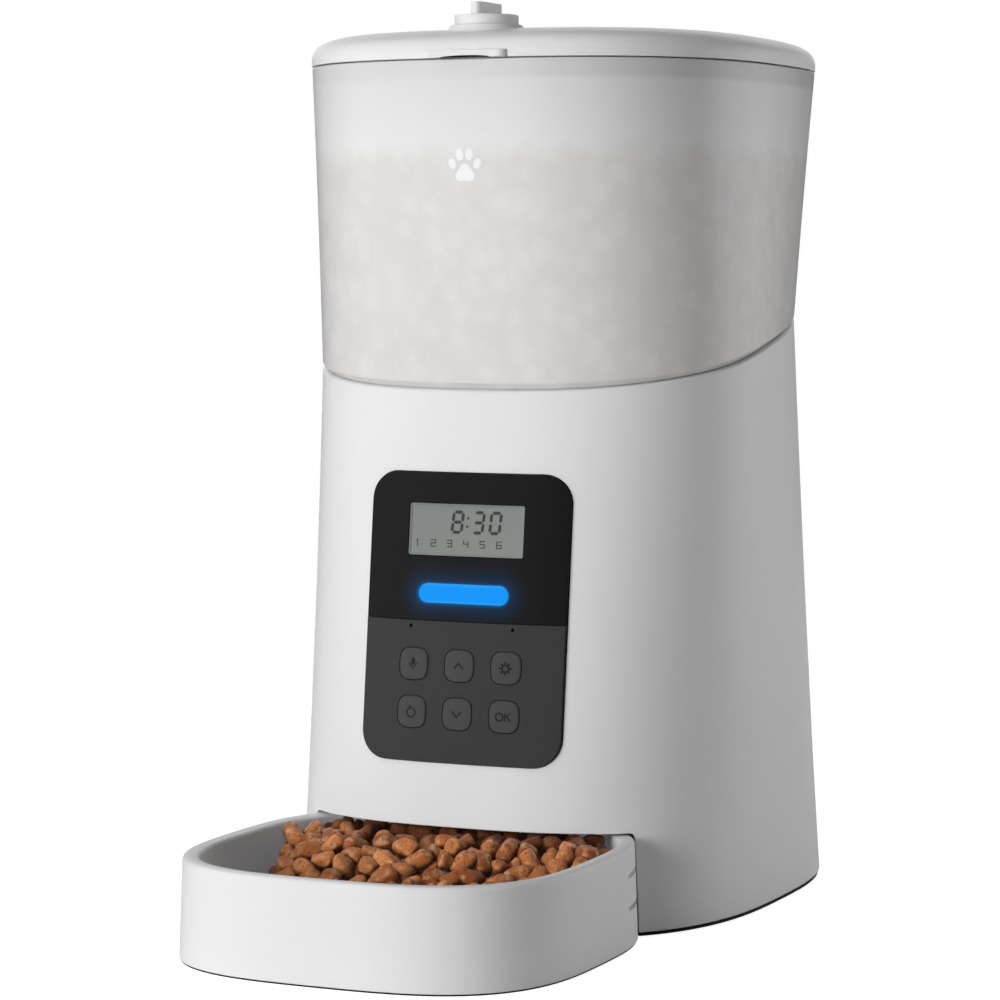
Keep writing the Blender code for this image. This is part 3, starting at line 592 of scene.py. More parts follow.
def tank_material():
    """Frosted plastic: milky, a little see-through, mottled where the kibble inside touches it, with painted
    shade darkening it towards the top under the lid, and a painted shadow band of the lid's plug behind it,
    deepening towards the right."""
    mat = Finish("frosted_tank")
    x, _, z = mat.axes()
    warp = mat.node("TexNoise", {"Scale": 160.0, "Vector": mat.at}).outputs["Color"]
    push = mat.node("VectorMath", operation="MULTIPLY_ADD")
    mat.feed(push, {0: warp, 1: (0.006, 0.006, 0.006), 2: mat.at})
    cells = mat.node("TexVoronoi", feature="SMOOTH_F1")
    mat.feed(cells, {"Scale": 110.0, "Smoothness": 0.35, "Vector": push.outputs[0]})
    middle = mat.fall(cells.outputs["Distance"], 0.15, 0.62)
    own = mat.node("SeparateColor", {0: cells.outputs["Color"]}).outputs[0]
    share = mat.math("MULTIPLY_ADD", own, 0.45, mat.math("MULTIPLY", middle, 0.6))
    kibble = mat.mix(share, (0.800, 0.783, 0.774), (0.870, 0.853, 0.845))
    # painted shade: the wall darkens towards the top, under the lid
    upper = mat.mix(mat.rise(z, 0.30, 0.33), grey(0.885), grey(0.80))
    clear = mat.mix(mat.remap(mat.noise(30.0, 3.0), 0.0, 0.06), upper, grey(1.0))
    bumpy_top = mat.math("MULTIPLY_ADD", mat.noise(90.0), 0.012, z)
    top = (KIBBLE_LINE_Z + 5.0) * MM
    colour = mat.mix(mat.fall(bumpy_top, top - 0.004, top + 0.004), clear, kibble)
    # painted shadow of the lid's plug: a grey band below the rim, stronger towards the right
    plug = mat.rise(z, 0.3245, 0.3265)
    plug_shadow_to_right = mat.remap(x, 0.25, 0.85, 0.0, 0.09)
    grain = mat.noise(1400.0)
    return mat.done({
        "Base Color": mat.mix(mat.math("MULTIPLY", plug, plug_shadow_to_right), colour, grey(0.66)),
        "Roughness": mat.remap(grain, 0.20, 0.30),
        "Alpha": 0.87,
    }, grain, 0.002)


def kibble_material(name, dark, light, pale, shaded_from=None):
    """Baked food: rough, porous, each lump in its own tone, paler where it is raised (partly its own colour,
    partly a painted highlight), with painted shade in its pores and crevices and, past shaded_from millimetres in
    y, dark in the housing's shade."""
    mat = Finish(name)
    shade = mat.node("NewGeometry").outputs["Random Per Island"]
    crust_and_highlight, pores = mat.noise(260.0, 5.0), mat.noise(900.0, 4.0)
    # paler where the surface is raised: partly the food's own colour, partly a painted highlight
    colour = mat.mix(mat.remap(crust_and_highlight, 0.0, 0.85, 0.48, 0.70), mat.mix(shade, dark, light), pale)
    painted_shade_colour = tuple(c * 0.35 for c in dark)
    # painted shade in the pores
    colour = mat.mix(mat.remap(pores, 0.8, 0.0, 0.28, 0.42), colour, painted_shade_colour)
    # painted shade in the crevices between and within lumps, from ambient occlusion
    occlusion_shade = mat.node("AmbientOcclusion", {"Distance": 0.009}, only_local=True, samples=8)
    colour = mat.mix(mat.rise(occlusion_shade.outputs["AO"], 0.24, 0.66), painted_shade_colour, colour)
    if shaded_from is not None:
        x, y, _ = mat.axes()
        bow = mat.math("MULTIPLY", mat.math("MULTIPLY", x, x), 2.2)
        start = (AXIS_Y + shaded_from) * MM
        shaded = mat.remap(mat.math("SUBTRACT", y, bow), 0.0, 0.93, start, start + 0.008)
        colour = mat.mix(shaded, colour, painted_shade_colour)
    return mat.done({
        "Base Color": colour,
        "Roughness": mat.remap(pores, 0.6, 0.36, 0.3, 0.7),
        "Specular IOR Level": 0.45,
    }, mat.math("ADD", mat.math("MULTIPLY", crust_and_highlight, 1.6), pores), 0.55)


def board_material():
    """Green circuit board with paler tracks."""
    mat = Finish("circuit_board")
    upright = mat.node("Mapping", {"Rotation": (math.pi / 2, 0, 0), "Vector": mat.at})
    tracks = mat.node("TexBrick", {
        "Scale": 120.0, "Mortar Size": 0.06, "Color1": (0.012, 0.11, 0.045),
        "Color2": (0.016, 0.14, 0.055), "Mortar": (0.05, 0.30, 0.12), "Vector": upright.outputs[0],
    }).outputs
    roughness = mat.remap(mat.noise(800.0), 0.3, 0.45)
    return mat.done({"Base Color": tracks["Color"], "Roughness": roughness}, tracks["Fac"], 0.03)


def cell_material():
    """A plain printed battery sleeve: a dark body with a copper-coloured band at one end."""
    mat = Finish("battery_sleeve")
    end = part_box("battery_1")[1].y
    band = mat.rise(mat.axes()["Y"], end - 0.016, end - 0.0155)
    grain = mat.noise(500.0)
    body = mat.mix(grain, (0.035, 0.037, 0.04), (0.045, 0.047, 0.05))
    return mat.done({
        "Base Color": mat.mix(band, body, (0.50, 0.24, 0.09)),
        "Roughness": mat.remap(grain, 0.2, 0.32),
    })


MATERIALS = {
    "white": moulded("white_plastic", grey(0.82), 0.38, specular=0.25),
    "inner_white": moulded("inner_white_plastic", (0.78, 0.78, 0.775), 0.5),
    "tank": tank_material(),
    "black": moulded("black_plastic", grey(0.006), 0.6, tint=0.15, specular=0.15),
    "window": window_material(),
    "keypad": moulded("keypad_grey", grey(0.051), 0.6, tint=0.04, grain_mm=0.5, specular=0.1),
    "key": moulded("key_grey", grey(0.072), 0.6, tint=0.04, grain_mm=0.4, specular=0.15),
    "ink": moulded("key_ink", grey(0.018), 0.55, tint=0.1, specular=0.2),
    "digit": moulded("display_digits", (0.052, 0.060, 0.056), 0.5, tint=0.1, specular=0.1),
    "mark": moulded("white_print", grey(0.93), 0.5, tint=0.01),
    "lcd": lcd_material(),
    "light": light_material(),
    "rubber": moulded("rubber", grey(0.022), 0.85, tint=0.2, grain_mm=0.6, depth_mm=0.02),
    "silicone": moulded("silicone", (0.66, 0.66, 0.64), 0.55, tint=0.03, depth_mm=0.01),
    "nylon": moulded("nylon", (0.72, 0.70, 0.64), 0.45, tint=0.04),
    "board": board_material(),
    "steel": moulded("steel", (0.58, 0.58, 0.59), 0.3, tint=0.06, metallic=1.0, stretch=(1, 12, 1)),
    "cell": cell_material(),
    "kibble": kibble_material(
        "kibble", (0.32, 0.088, 0.024), (0.84, 0.30, 0.10), (0.99, 0.52, 0.25), -121.5
    ),
    # The kibble in the tank takes paler, less saturated colours than the tray's: a painted lightening, as little
    # light reaches it behind the frosted wall.
    "stored": kibble_material(
        "stored_kibble", (0.42, 0.17, 0.07), (0.78, 0.40, 0.20), (0.92, 0.60, 0.38)
    ),
}


def finish_frame():
    """Gives each CAD node that stays in view the material of its slot in the record."""
    named = {"lens": "window", "button": "key"}
    inside = {"battery_box", "food_chute", "tank_deck", "dispenser_floor", "desiccant_box"}
    for part in frame["record"]["subparts"]:
        slot = named.get(part["material_slot"], part["material_slot"])
        if part["node"] in inside:
            slot = "inner_white"
        obj = frame["nodes"][part["node"]]
        obj.data.materials.clear()
        obj.data.materials.append(MATERIALS[slot])


# ---- housing


def tray_space(height):
    """The tray's outline with clearance all round, for cutting its opening."""
    reach = 2.2 if height > TRAY_TOP_Z else 0
    line = [(-0.8, -2.0, 0), (TRAY_DRAFT - 0.8, height, reach), (40.0, height, 0)]
    return loft("tool", plan_rings(TRAY_SECTION, profile(line, longest=40)))


def build_housing():
    corners = [
        (0.0, SHELL_BOTTOM_Z, 0.4), (0.0, WAIST_Z, 1.0),
        (SHELL_WALL, WAIST_Z, 0.5), (SHELL_WALL, SHELL_BOTTOM_Z, 0.4),
    ]
    rings = [body_ring(inset, height) for inset, height in profile(corners, closed=True)]
    shell = loft("housing_shell", rings, "white", closed=True)
    socket = rounded_rectangle(-6.5, 50.5, 6.5, 61.5, 0.8)
    combine(
        shell, "DIFFERENCE", tray_space(SKIRT_Z),
        along_y(panel_edge(-0.3), -126.0, -80.0),
        along_y(socket, 95.0, 125.0),
    )

    def on_mouth(x, y, z):
        """True on the outer edge of the tray's opening."""
        base, waist = np.array(BASE_SECTION), np.array(WAIST_SECTION)
        half_x, half_y, centre_y, _ = base + (waist - base) * max(0.0, z) / WAIST_Z
        size = (abs(x) / half_x) ** 2.85 + (abs(y - centre_y) / half_y) ** 2.85
        return size > 0.985 and 3.0 < z < SKIRT_Z + 1 and y < 0

    soften(shell, on_mouth, 0.5)
    settle(shell, "housing", "white", "body_shell")


def build_base():
    """The black cover under the housing, whose edge shows as a dark line."""
    step = SHELL_BOTTOM_Z - 0.3
    corners = [(30.0, 5.0, 0), (3.8, 5.0, 0.3), (3.8, step, 0),
               (0.7, step, 0.1), (0.7, 0.2, 0.3), (30.0, 0.2, 0)]
    base = loft("base_cover", plan_rings(BASE_SECTION, profile(corners, longest=30)), "black")
    (_, y0, _), (x, y1, _) = node_box("battery_door")
    door = rounded_rectangle(-x - 0.3, y0 - 0.3, x + 0.3, y1 + 0.3, 0.4)
    tools = [tray_space(8.0), prism(door, -1.0, 8.0)]
    for corner in ("rear_left", "rear_right", "front_left", "front_right"):
        tools.append(drill(f"foot_{corner}", 7.3, 2.5, 48))
    for number in range(1, 5):
        screw = f"base_screw_{number}"
        tools += [drill(screw, 3.8, 2.6, 32), drill(screw, 1.8, 8.0, 24)]
    for number in range(4):
        y = -42.0 + 8.0 * number
        tools.append(prism(rounded_rectangle(-64, y, -40, y + 3, 1.45), -1.0, 8.0))
    combine(base, "DIFFERENCE", *tools)
    smooth(base)
    dress(base, "housing", "black", "base_plate")


# ---- control panel


def panel_part(split, upper):
    """The panel's outline above or below a split, as a function of its inset."""

    def boundary(inset):
        whole = [tuple(p) for p in panel_edge(inset)]
        half = PANEL_HALF_WIDTH - inset
        if upper:
            return [p for p in whole if p[1] > split] + [(-half, split + inset), (half, split + inset)]
        return [(half, split - inset), (-half, split - inset)] + [p for p in whole if p[1] < split]

    return boundary


def key_edge(spot, gap=0.0):
    """A key's rounded square as a function of its inset."""
    half = KEY_HALF + gap
    return lambda inset: outline(Section(half, half, 0.0, KEY_POWER), inset, 72) + spot


def bar(half_width, bottom, top, radius):
    """A rounded bar about the panel's middle as a function of its inset."""
    return lambda inset: rounded_rectangle(
        -half_width + inset, bottom + inset, half_width - inset, top - inset, max(radius - inset, 0.02)
    )


panel_edge = bar(PANEL_HALF_WIDTH, PANEL_BOTTOM_Z, PANEL_TOP_Z, PANEL_CORNER)


def outwards(boundary):
    """A hole's outline, which grows as the plate's edge is drawn in."""
    return lambda inset: boundary(-inset)


def rounded_rim(height, reach, run):
    """(inset, height) levels over a plate's rounded edge."""
    return [(i, h) for i, h in profile([(0, 0, 0), (0, height, reach), (run, height, 0)])[1:-1]]


def build_panel():
    lcd = bar(LCD_HALF_WIDTH, LCD_BOTTOM_Z, LCD_TOP_Z, 1.0)
    half = LIGHT_HALF_HEIGHT
    light = bar(LIGHT_HALF_WIDTH, LIGHT_Z - half, LIGHT_Z + half, half - 0.02)
    plate = [(0.0, 0.1)] + rounded_rim(PANEL_PROUD, 0.45, 1)
    edges = [panel_part(PANEL_SPLIT_Z - 0.08, True), outwards(lcd), outwards(light)]
    window = front_sheet("display_window", edges, plate, "window")
    dress(window, "housing", "lens", "display_lens")

    edges = [panel_part(PANEL_SPLIT_Z - 0.16, False)]
    edges += [outwards(key_edge(spot, KEY_CLEARANCE)) for spot in KEYS.values()]
    edges += [lambda inset, x=x: circle(0.95 - inset, 24, (x, MIC_Z)) for x in (-MIC_X, MIC_X)]
    pad = front_sheet("keypad_face", edges, [(i * 0.6, h) for i, h in plate], "keypad")
    dress(pad, "housing", "keypad", "keypad_plate")

    rim = PANEL_PROUD - 0.25
    glass = [(0.1, -3.0), (0.1, rim - 0.1), (0.2, rim), (0.5, rim), (0.6, rim - 0.1), (1.0, LCD_FACE)]
    face = front_sheet("display_panel", [lcd], glass, "lcd")
    dress(face, "housing", "lcd", "lcd_display")
    guide = [(0.15, -4.0)] + [(i + 0.15, h) for i, h in rounded_rim(PANEL_PROUD - 0.1, 0.5, 1.5)]
    lamp = front_sheet("status_light_bar", [light], guide, "light")
    dress(lamp, "housing", "light", "status_light")


def stroke(points, width, closed=False):
    """Outlines of a drawn line: one around an open line, or an outer and an inner one if closed."""
    points = np.array(points, float)
    before = np.roll(points, 1, 0)
    after = np.roll(points, -1, 0)
    if not closed:
        before[0], after[-1] = points[0], points[-1]
    into = points - before
    out = after - points
    if not closed:
        into[0], out[-1] = out[0], into[-1]
    into /= np.linalg.norm(into, axis=1, keepdims=True)
    out /= np.linalg.norm(out, axis=1, keepdims=True)
    normal = np.stack([-into[:, 1] - out[:, 1], into[:, 0] + out[:, 0]], 1)
    normal /= np.linalg.norm(normal, axis=1, keepdims=True)
    across = np.stack([-out[:, 1], out[:, 0]], 1)
    reach = width / 2 / np.clip((normal * across).sum(1, keepdims=True), 0.4, 1)
    left, right = points + normal * reach, points - normal * reach
    if closed:
        return [left, right]
    ends = []
    for centre, away in ((points[-1], out[-1]), (points[0], -into[0])):
        start = math.atan2(away[1], away[0]) + math.pi / 2
        ends.append(around(start - math.pi * np.arange(1, 6) / 6, width / 2, centre))
    return [np.array([*left, *ends[0], *right[::-1], *ends[1]])]


def arc(radius, start, end, centre=(0.0, 0.0), count=20):
    """Points on an arc, its angles in degrees anticlockwise from the right."""
    return around(np.radians(np.linspace(start, end, count)), radius, centre)


def print_shapes(name, shapes, centre, height, thickness, material, surface=front_y):
    """Thin raised print on a front surface: each shape is a closed outline about the centre."""
    boundaries = [lambda inset, s=np.asarray(shape) + centre: s for shape in shapes]
    levels = [(0, height - 0.05), (0, height + thickness)]
    return front_sheet(name, boundaries, levels, material, surface, 8.0)


def key_icons():
    """Generic pictures for the keys, each a list of outlines in millimetres about its middle."""
    line = 0.62
    gear = around(turns(96), 2.1 + 0.45 * np.tanh(4 * np.cos(8 * turns(96))))
    capsule = stroke([(0, 0.35), (0, 1.75)], 1.5)
    cradle = stroke(arc(1.35, 180, 360, (0, 0.35)), 0.5)
    stem = [np.array([(-0.25, -1.3), (0.25, -1.3), (0.25, -2.3), (-0.25, -2.3)])]
    again = stroke(arc(1.75, 62, -232, (0, -0.2), 40), line)
    head = [np.array([(-0.9, 2.9), (0.55, 1.6), (-0.9, 0.75)])]
    letter_o = stroke(arc(1.45, 0, 350, (-1.6, 0), 36), line, closed=True)
    letter_k = [
        (0.45, 1.55), (0.45, -1.55), (1.05, -1.55), (1.05, -0.45), (1.4, -0.1), (2.35, -1.55),
        (3.1, -1.55), (1.85, 0.3), (3.0, 1.55), (2.25, 1.55), (1.05, 0.25), (1.05, 1.55),
    ]
    return {
        "record": capsule + cradle + stem,
        "up": stroke([(-1.75, -0.9), (0, 1.1), (1.75, -0.9)], line),
        "settings": [gear, circle(1.0, 32)],
        "feed": again + head,
        "down": stroke([(-1.75, 0.9), (0, -1.1), (1.75, 0.9)], line),
        "ok": letter_o + [np.array(letter_k)],
    }


def build_keys():
    levels = [(0.0, -1.6)]
    levels += profile([(0, 0, 0), (0, 1.72, 0.85), (2.4, KEY_PROUD - 0.06, 0)], steps=8)[1:]
    levels += [(4.0, KEY_PROUD - 0.02), (5.6, KEY_PROUD)]
    icons = key_icons()
    for name, spot in KEYS.items():
        body = f"button_{name}"
        cap = front_sheet(f"key_{name}", [key_edge(spot)], levels, "key")
        dress(cap, body, "button", body)
        icon = print_shapes(f"icon_{name}", icons[name], spot, KEY_PROUD, 0.03, "ink")
        dress(icon, body, "black")


SEGMENT_KEYS = {"0": "abcdef", "3": "abcdg", "8": "abcdefg"}


def seven_segments(digit, width=5.2, height=9.0, bar_width=1.25, lean=0.09):
    """A seven-segment digit's outlines about its middle."""
    half_x, half_y = width / 2 - bar_width / 2, height / 2 - bar_width / 2
    loop = [(-half_x, half_y), (half_x, half_y), (half_x, 0), (half_x, -half_y), (-half_x, -half_y)]
    loop.append((-half_x, 0))
    spots = dict(zip("abcdef", zip(loop, loop[1:] + loop[:1])))
    spots["g"] = (loop[5], loop[2])
    shapes = []
    for key in SEGMENT_KEYS[digit]:
        start, end = (np.array(p, float) for p in spots[key])
        along = (end - start) / np.linalg.norm(end - start)
        side = np.array((-along[1], along[0])) * bar_width / 2
        start, end = start + along * 0.22, end - along * 0.22
        first, last = start + along * bar_width / 2, end - along * bar_width / 2
        shape = [start, first + side, last + side, end, last - side, first - side]
        shapes.append(np.array([(x + lean * y, y) for x, y in shape]))
    return shapes


def small_digit(number):
    """A small printed digit's outlines about its middle."""
    w, h = 0.95, 1.25
    lines = {
        1: [[(-0.3, 0.9), (0.1, h), (0.1, -h)]],
        2: [[(-w, h), (w, h), (w, 0), (-w, 0), (-w, -h), (w, -h)]],
        3: [[(-w, h), (w, h), (w, -h), (-w, -h)], [(-0.8 * w, 0), (w - 0.25, 0)]],
        4: [[(-w, h), (-w, 0), (w - 0.25, 0)], [(w, 0.8 * h), (w, -h)]],
        5: [[(w, h), (-w, h), (-w, 0), (w, 0), (w, -h), (-w, -h)]],
        6: [[(w, h), (-w, h), (-w, -h), (w, -h), (w, 0), (0.25 - w, 0)]],
    }
    return [shape for line in lines[number] for shape in stroke(line, 0.38)]


def build_digits():
    """The time on the display, and the numbers of the six meals below it."""
    shapes = []
    for digit, x in (("8", -3.6), ("3", 5.2), ("0", 12.3)):
        shapes += [shape + (x, 156.0) for shape in seven_segments(digit)]
    for x, z in ((0.8, 157.6), (0.5, 154.4)):
        shapes.append(rounded_rectangle(x - 0.45, z - 0.45, x + 0.45, z + 0.45, 0.2, 3))
    for number in range(1, 7):
        shapes += [shape + (6.95 * number - 27.6, 147.7) for shape in small_digit(number)]
    digits = print_shapes("display_digits", shapes, (0, 0), LCD_FACE, 0.04, "digit")
    dress(digits, "housing", "black")


# ---- tray


def build_tray():
    inner = TRAY_DRAFT + TRAY_WALL
    corners = [
        (30.0, TRAY_BOTTOM_Z, 0), (0.0, TRAY_BOTTOM_Z, 0.5), (TRAY_DRAFT, TRAY_TOP_Z - 0.25, 1.9),
        (4.2, TRAY_TOP_Z + 0.08, 1.2), (inner - 0.3, TRAY_TOP_Z - 0.5, 1.3),
        (inner + 2.6, TRAY_FLOOR_Z + 6.0, 7.0), (inner + 13.0, TRAY_FLOOR_Z, 7.0), (45.0, TRAY_FLOOR_Z, 0),
    ]
    rings = plan_rings(TRAY_SECTION, profile(corners, steps=8, longest=8.0))
    tray = loft("food_tray_bowl", rings, "white")
    tools = []
    side = rounded_rectangle(-95.0, GROOVE_FRONT_Y, 95.0, GROOVE_BACK_Y, 1.0)
    for z in GROOVE_HEIGHTS:
        corners = [(-3.0, z - 1.4, 0), (-0.2, z - 1.0, 0.5), (2.6, z - 0.9, 0.5),
                   (2.6, z + 0.9, 0.5), (-0.2, z + 1.0, 0.5), (-3.0, z + 1.4, 0)]
        groove = loft("groove", plan_rings(TRAY_SECTION, profile(corners, closed=True)), closed=True)
        tools.append(combine(groove, "INTERSECT", prism(side, z - 4, z + 4)))

    def foot_spaces():
        return [drill(f"tray_foot_{hand}", 5.3, 1.9, 40) for hand in ("left", "right")]

    combine(tray, "DIFFERENCE", *tools, *foot_spaces())
    settle(tray, "tray", "white", "food_tray")

    # A thin black sheet under the bowl: painted shadow, the dark line of the gap under the tray's foot.
    rings = plan_rings(TRAY_SECTION, ((30, 0.75), (0.5, 0.75), (0.5, 0.1), (30, 0.1)))
    pad = loft("tray_shadow_sheet", rings, "black")
    combine(pad, "DIFFERENCE", *foot_spaces())
    smooth(pad)
    dress(pad, "tray", "black")


# ---- tank and lid


def hinge_round(radius, count, x0, x1):
    """A round bar about the lid's hinge."""
    return along_x(circle(radius, count, (HINGE_Y, HINGE_Z)), x0, x1)


def build_tank():
    """Collar, funnel and round dispenser chamber in one moulding, chamfered above the housing."""
    rim = TANK_TOP_Z - WAIST_Z
    outside = profile(
        [(3.0, SEAM_GAP, 0), (1.9, SEAM_GAP, 0.1), (0.0, 2.4, 0.5), (0.0, rim, 0.6), (TANK_WALL, rim, 0.6),
         (TANK_WALL, 4.0, 1.0), (5.4, 2.0, 1.0), (8.0, -6.0, 0)],
        longest=8.0,
    )

    def seam_ring(inset, above):
        return on_seam(outline(WAIST_SECTION, inset), above)

    def between(first, last, shares):
        return [first + (last - first) * s for s in shares]

    sleeve, chamber = circle(CHAMBER_RADIUS + TANK_WALL), circle(CHAMBER_RADIUS)
    rings = [level(sleeve, CHAMBER_BOTTOM_Z)]
    rings += between(level(sleeve, CHAMBER_TOP_Z), seam_ring(5.6, -7.0), (0.0, 0.33, 0.67, 1.0))
    rings += [seam_ring(3.0, -5.0)] + [tank_ring(inset, height) for inset, height in outside]
    rings += between(seam_ring(8.0, -6.0), level(chamber, CHAMBER_TOP_Z + 1.2), (0.25, 0.5, 0.75, 1.0))
    rings += [level(chamber, CHAMBER_BOTTOM_Z)]
    tank = loft("tank_shell", rings, "tank", closed=True)
    catch_z = node_box("lock_tongue")[1][2] + 1.5
    catch = rounded_rectangle(-7.0, -101.8, 7.0, -95.4, 1.0)
    solids = [prism(catch, catch_z - 1.0, catch_z + 1.6, 0.3)]
    arm = [(97.8, 322.0), (HINGE_Y + HINGE_RADIUS, 330.5), (HINGE_Y + HINGE_RADIUS, HINGE_Z),
           (HINGE_Y - 2.9, HINGE_Z), (100.4, 332.0), (97.8, 332.0)]
    for x in (-26.0, 26.0):
        solids += [along_x(arm, x - 5, x + 5), hinge_round(HINGE_RADIUS, 40, x - 5, x + 5)]
    combine(tank, "UNION", *solids)
    combine(tank, "DIFFERENCE", hinge_round(PIN_HOLE_RADIUS, 32, -40, 40))
    settle(tank, "tank", "tank", "food_tank")


def build_mark():
    """A plain paw print on the front of the tank."""
    shapes = []
    toes = (  # place, half width, half height, lean in degrees
        (-5.2, 1.2, 1.5, 2.1, 20), (-2.0, 4.6, 1.6, 2.3, 6),
        (2.0, 4.6, 1.6, 2.3, -6), (5.2, 1.2, 1.5, 2.1, -20),
    )
    for x, z, half_x, half_z, lean in toes:
        turn = math.radians(lean)
        oval = circle(1.0, 40) * (half_x, half_z)
        turned = oval @ np.array([[math.cos(turn), math.sin(turn)], [-math.sin(turn), math.cos(turn)]])
        shapes.append(turned + (x, z))
    angle = turns(64)
    radius = 3.5 + 0.55 * np.cos(3 * (angle - math.pi / 2)) + 0.25 * np.cos(2 * angle)
    shapes.append(around(angle, radius, (0.0, -2.6)))
    mark = print_shapes("paw_mark", shapes, (0.0, 292.0), 0.02, 0.06, "mark", tank_front_y)
    dress(mark, "tank", "white")


def build_lid():
    """A shallow dome with a plug that enters the tank, a pull tab, a seat for the knob and a hinge."""
    top, spot = TOP_SECTION, (0.0, KNOB_Y)

    def dome(pairs):
        return [level(outline(scaled(top, share)), z) for share, z in pairs]

    rings = smooth_rings(dome(((0.03, 346.4), (0.30, 345.8), (0.65, 343.6), (0.90, 341.2))), 3)
    plug = profile([(6.2, 338.5, 0), (6.4, LID_Z, 1.0), (8.6, 325.6, 0.6), (6.6, 325.6, 0.6),
                    (4.2, LID_Z, 0.5), (-0.2, LID_Z, 0.35), (-0.2, LID_Z + 3.0, 0)], longest=6.0)
    rings += plan_rings(top, plug)
    shoulder = ((-0.2, 3.0), (0.35, 5.3), (1.6, 7.2), (3.8, 8.8), (7.0, 10.1))
    shoulder = plan_rings(top, [(inset, LID_Z + rise) for inset, rise in shoulder])
    crown = dome(((0.86, 344.6), (0.72, 345.6), (0.50, 346.9), (0.25, 348.4), (0.03, 348.9)))
    rings += smooth_rings(shoulder + crown, 4)[1:]
    lid = loft("lid_shell", rings, "white")

    tab = prism(rounded_rectangle(-15.8, -106.3, 19.2, -94.0, 3.4), LID_Z, LID_Z + 2.9, 0.8)
    seat = [(18.5, 341.6, 0), (15.4, 343.6, 1.6), (13.9, 346.6, 0.4), (6.0, 346.6, 0)]
    lug = [(95.0, LID_Z), (100.6, LID_Z), (HINGE_Y, HINGE_Z - 2.9), (HINGE_Y, HINGE_Z + 2.9),
           (95.0, LID_Z + 4.5)]
    half = 20.5
    combine(
        lid, "UNION", tab, loft("knob_seat", round_rings(profile(seat, longest=100), 128, spot)),
        along_x(lug, -half, half), hinge_round(HINGE_RADIUS, 40, -half, half),
    )
    notch = circle(1.0, 48) * (10.6, 0.75) + (2.4, LID_Z)
    combine(
        lid, "DIFFERENCE",
        loft("knob_room", round_rings(((12.8, 345.0), (12.8, 362.0)), 128, spot)),
        loft("knob_hole", round_rings(((4.3, 330.0), (4.3, 362.0)), 48, spot)),
        along_y(notch, -112.0, -102.0),
        hinge_round(PIN_HOLE_RADIUS, 32, -40, 40),
    )
    settle(lid, "lid", "white", "lid", sharp_degrees=32.0)

    # A black sheet at the back of the notch under the pull tab: painted shadow for the gap there.
    recess = circle(1.0, 48) * (10.9, 0.7) + (2.4, LID_Z + 0.15)
    shade = along_y(recess[recess[:, 1] > LID_Z], -104.9, -103.2, "tab_notch_shadow", "black")
    dress(shade, "lid", "black")

    seal = [(5.3, 327.6, 0.3), (4.1, 328.0, 0.3), (3.2, 330.8, 0.3), (4.5, 331.2, 0.3)]
    rings = plan_rings(top, profile(seal, closed=True, steps=3))
    dress(loft("lid_seal_ring", rings, "silicone", closed=True), "lid", "silicone", "lid_seal")


def build_knob():
    spot = (0.0, KNOB_Y)
    top = node_box("lock_knob")[1][2]
    collar = [(4.0, 345.3, 0), (12.4, 345.3, 0.3), (12.4, 350.4, 0.5), (3.0, 350.5, 0)]
    dial = loft("lock_dial", round_rings(profile(collar, longest=100), 160, spot), "white")
    half = np.array([2.35, 10.8])
    grip = rounded_rectangle(*(spot - half), *(spot + half), half[0] - 0.02, 16)
    edge = profile([(0, 349.8, 0), (0, top, 0.45), (half[0] - 0.3, top, 0)], longest=100)
    wing = loft("grip", [level(spot + (grip - spot) * (1 - inset / half), z) for inset, z in edge])
    stem = loft("stem", round_rings(((3.9, 320.3), (3.9, 348.0)), 48, spot))
    combine(dial, "UNION", wing, stem)
    settle(dial, "lock", "white", "lock_knob", sharp_degrees=32.0)


# ---- kibble


def kibble_shapes(detail, seed):
    """A few different lumps, each as points about its middle and triangles."""
    shapes = []
    rng = random.Random(seed)
    for variant in range(8):
        work = bmesh.new()
        bmesh.ops.create_icosphere(work, subdivisions=detail, radius=1.0)
        stretch = Vector((rng.uniform(1.1, 1.5), rng.uniform(0.84, 1.1), rng.uniform(0.62, 0.95)))
        lobes = rng.choice((0, 2, 3, 3))
        bend = rng.uniform(-0.18, 0.3)
        offset = Vector((variant * 7.3, seed * 1.7, 0))
        for vertex in work.verts:
            p = vertex.co.copy()
            squared = Vector(math.copysign(abs(c) ** 0.74, c) for c in p)
            wave = 1 + 0.10 * math.cos(lobes * math.atan2(p.y, p.x)) * (lobes > 0)
            rough = 1 + 0.16 * noise.noise(p * 1.5 + offset) + 0.07 * noise.noise(p * 4.0 + offset)
            p = squared * wave * rough
            p = Vector((p.x * stretch.x, p.y * stretch.y + bend * p.x * p.x, p.z * stretch.z))
            vertex.co = p
        faces = [[v.index for v in face.verts] for face in work.faces]
        shapes.append((np.array([v.co for v in work.verts]), np.array(faces)))
        work.free()
    return shapes


def turned(rng, flat=1.0):
    """A random turn; flat under 1 keeps the lump's thin side nearer the vertical."""
    spin = Matrix.Rotation(rng.uniform(0, 2 * math.pi), 3, "Z")
    tip = Matrix.Rotation(rng.uniform(-math.pi, math.pi) * flat, 3, "X")
    roll = Matrix.Rotation(rng.uniform(-math.pi, math.pi) * flat, 3, "Y")
    return np.array(spin @ tip @ roll)


def scatter(name, places, radius, shapes, material, seed, flat=0.35, ceiling=None):
    """One mesh of lumps at the places, each turned and sized at random and kept under the ceiling."""
    rng = random.Random(seed)
    points, faces, start = [], [], 0
    for spot in places:
        shape, triangles = shapes[rng.randrange(len(shapes))]
        lump = shape @ turned(rng, flat).T * radius * rng.uniform(0.86, 1.16) + spot
        if ceiling is not None:
            lump[:, 2] -= max(0.0, lump[:, 2].max() - ceiling)
        points.append(lump)
        faces.append(triangles + start)
        start += len(lump)
    return add_mesh(name, np.concatenate(points), np.concatenate(faces).tolist(), material, 60.0)


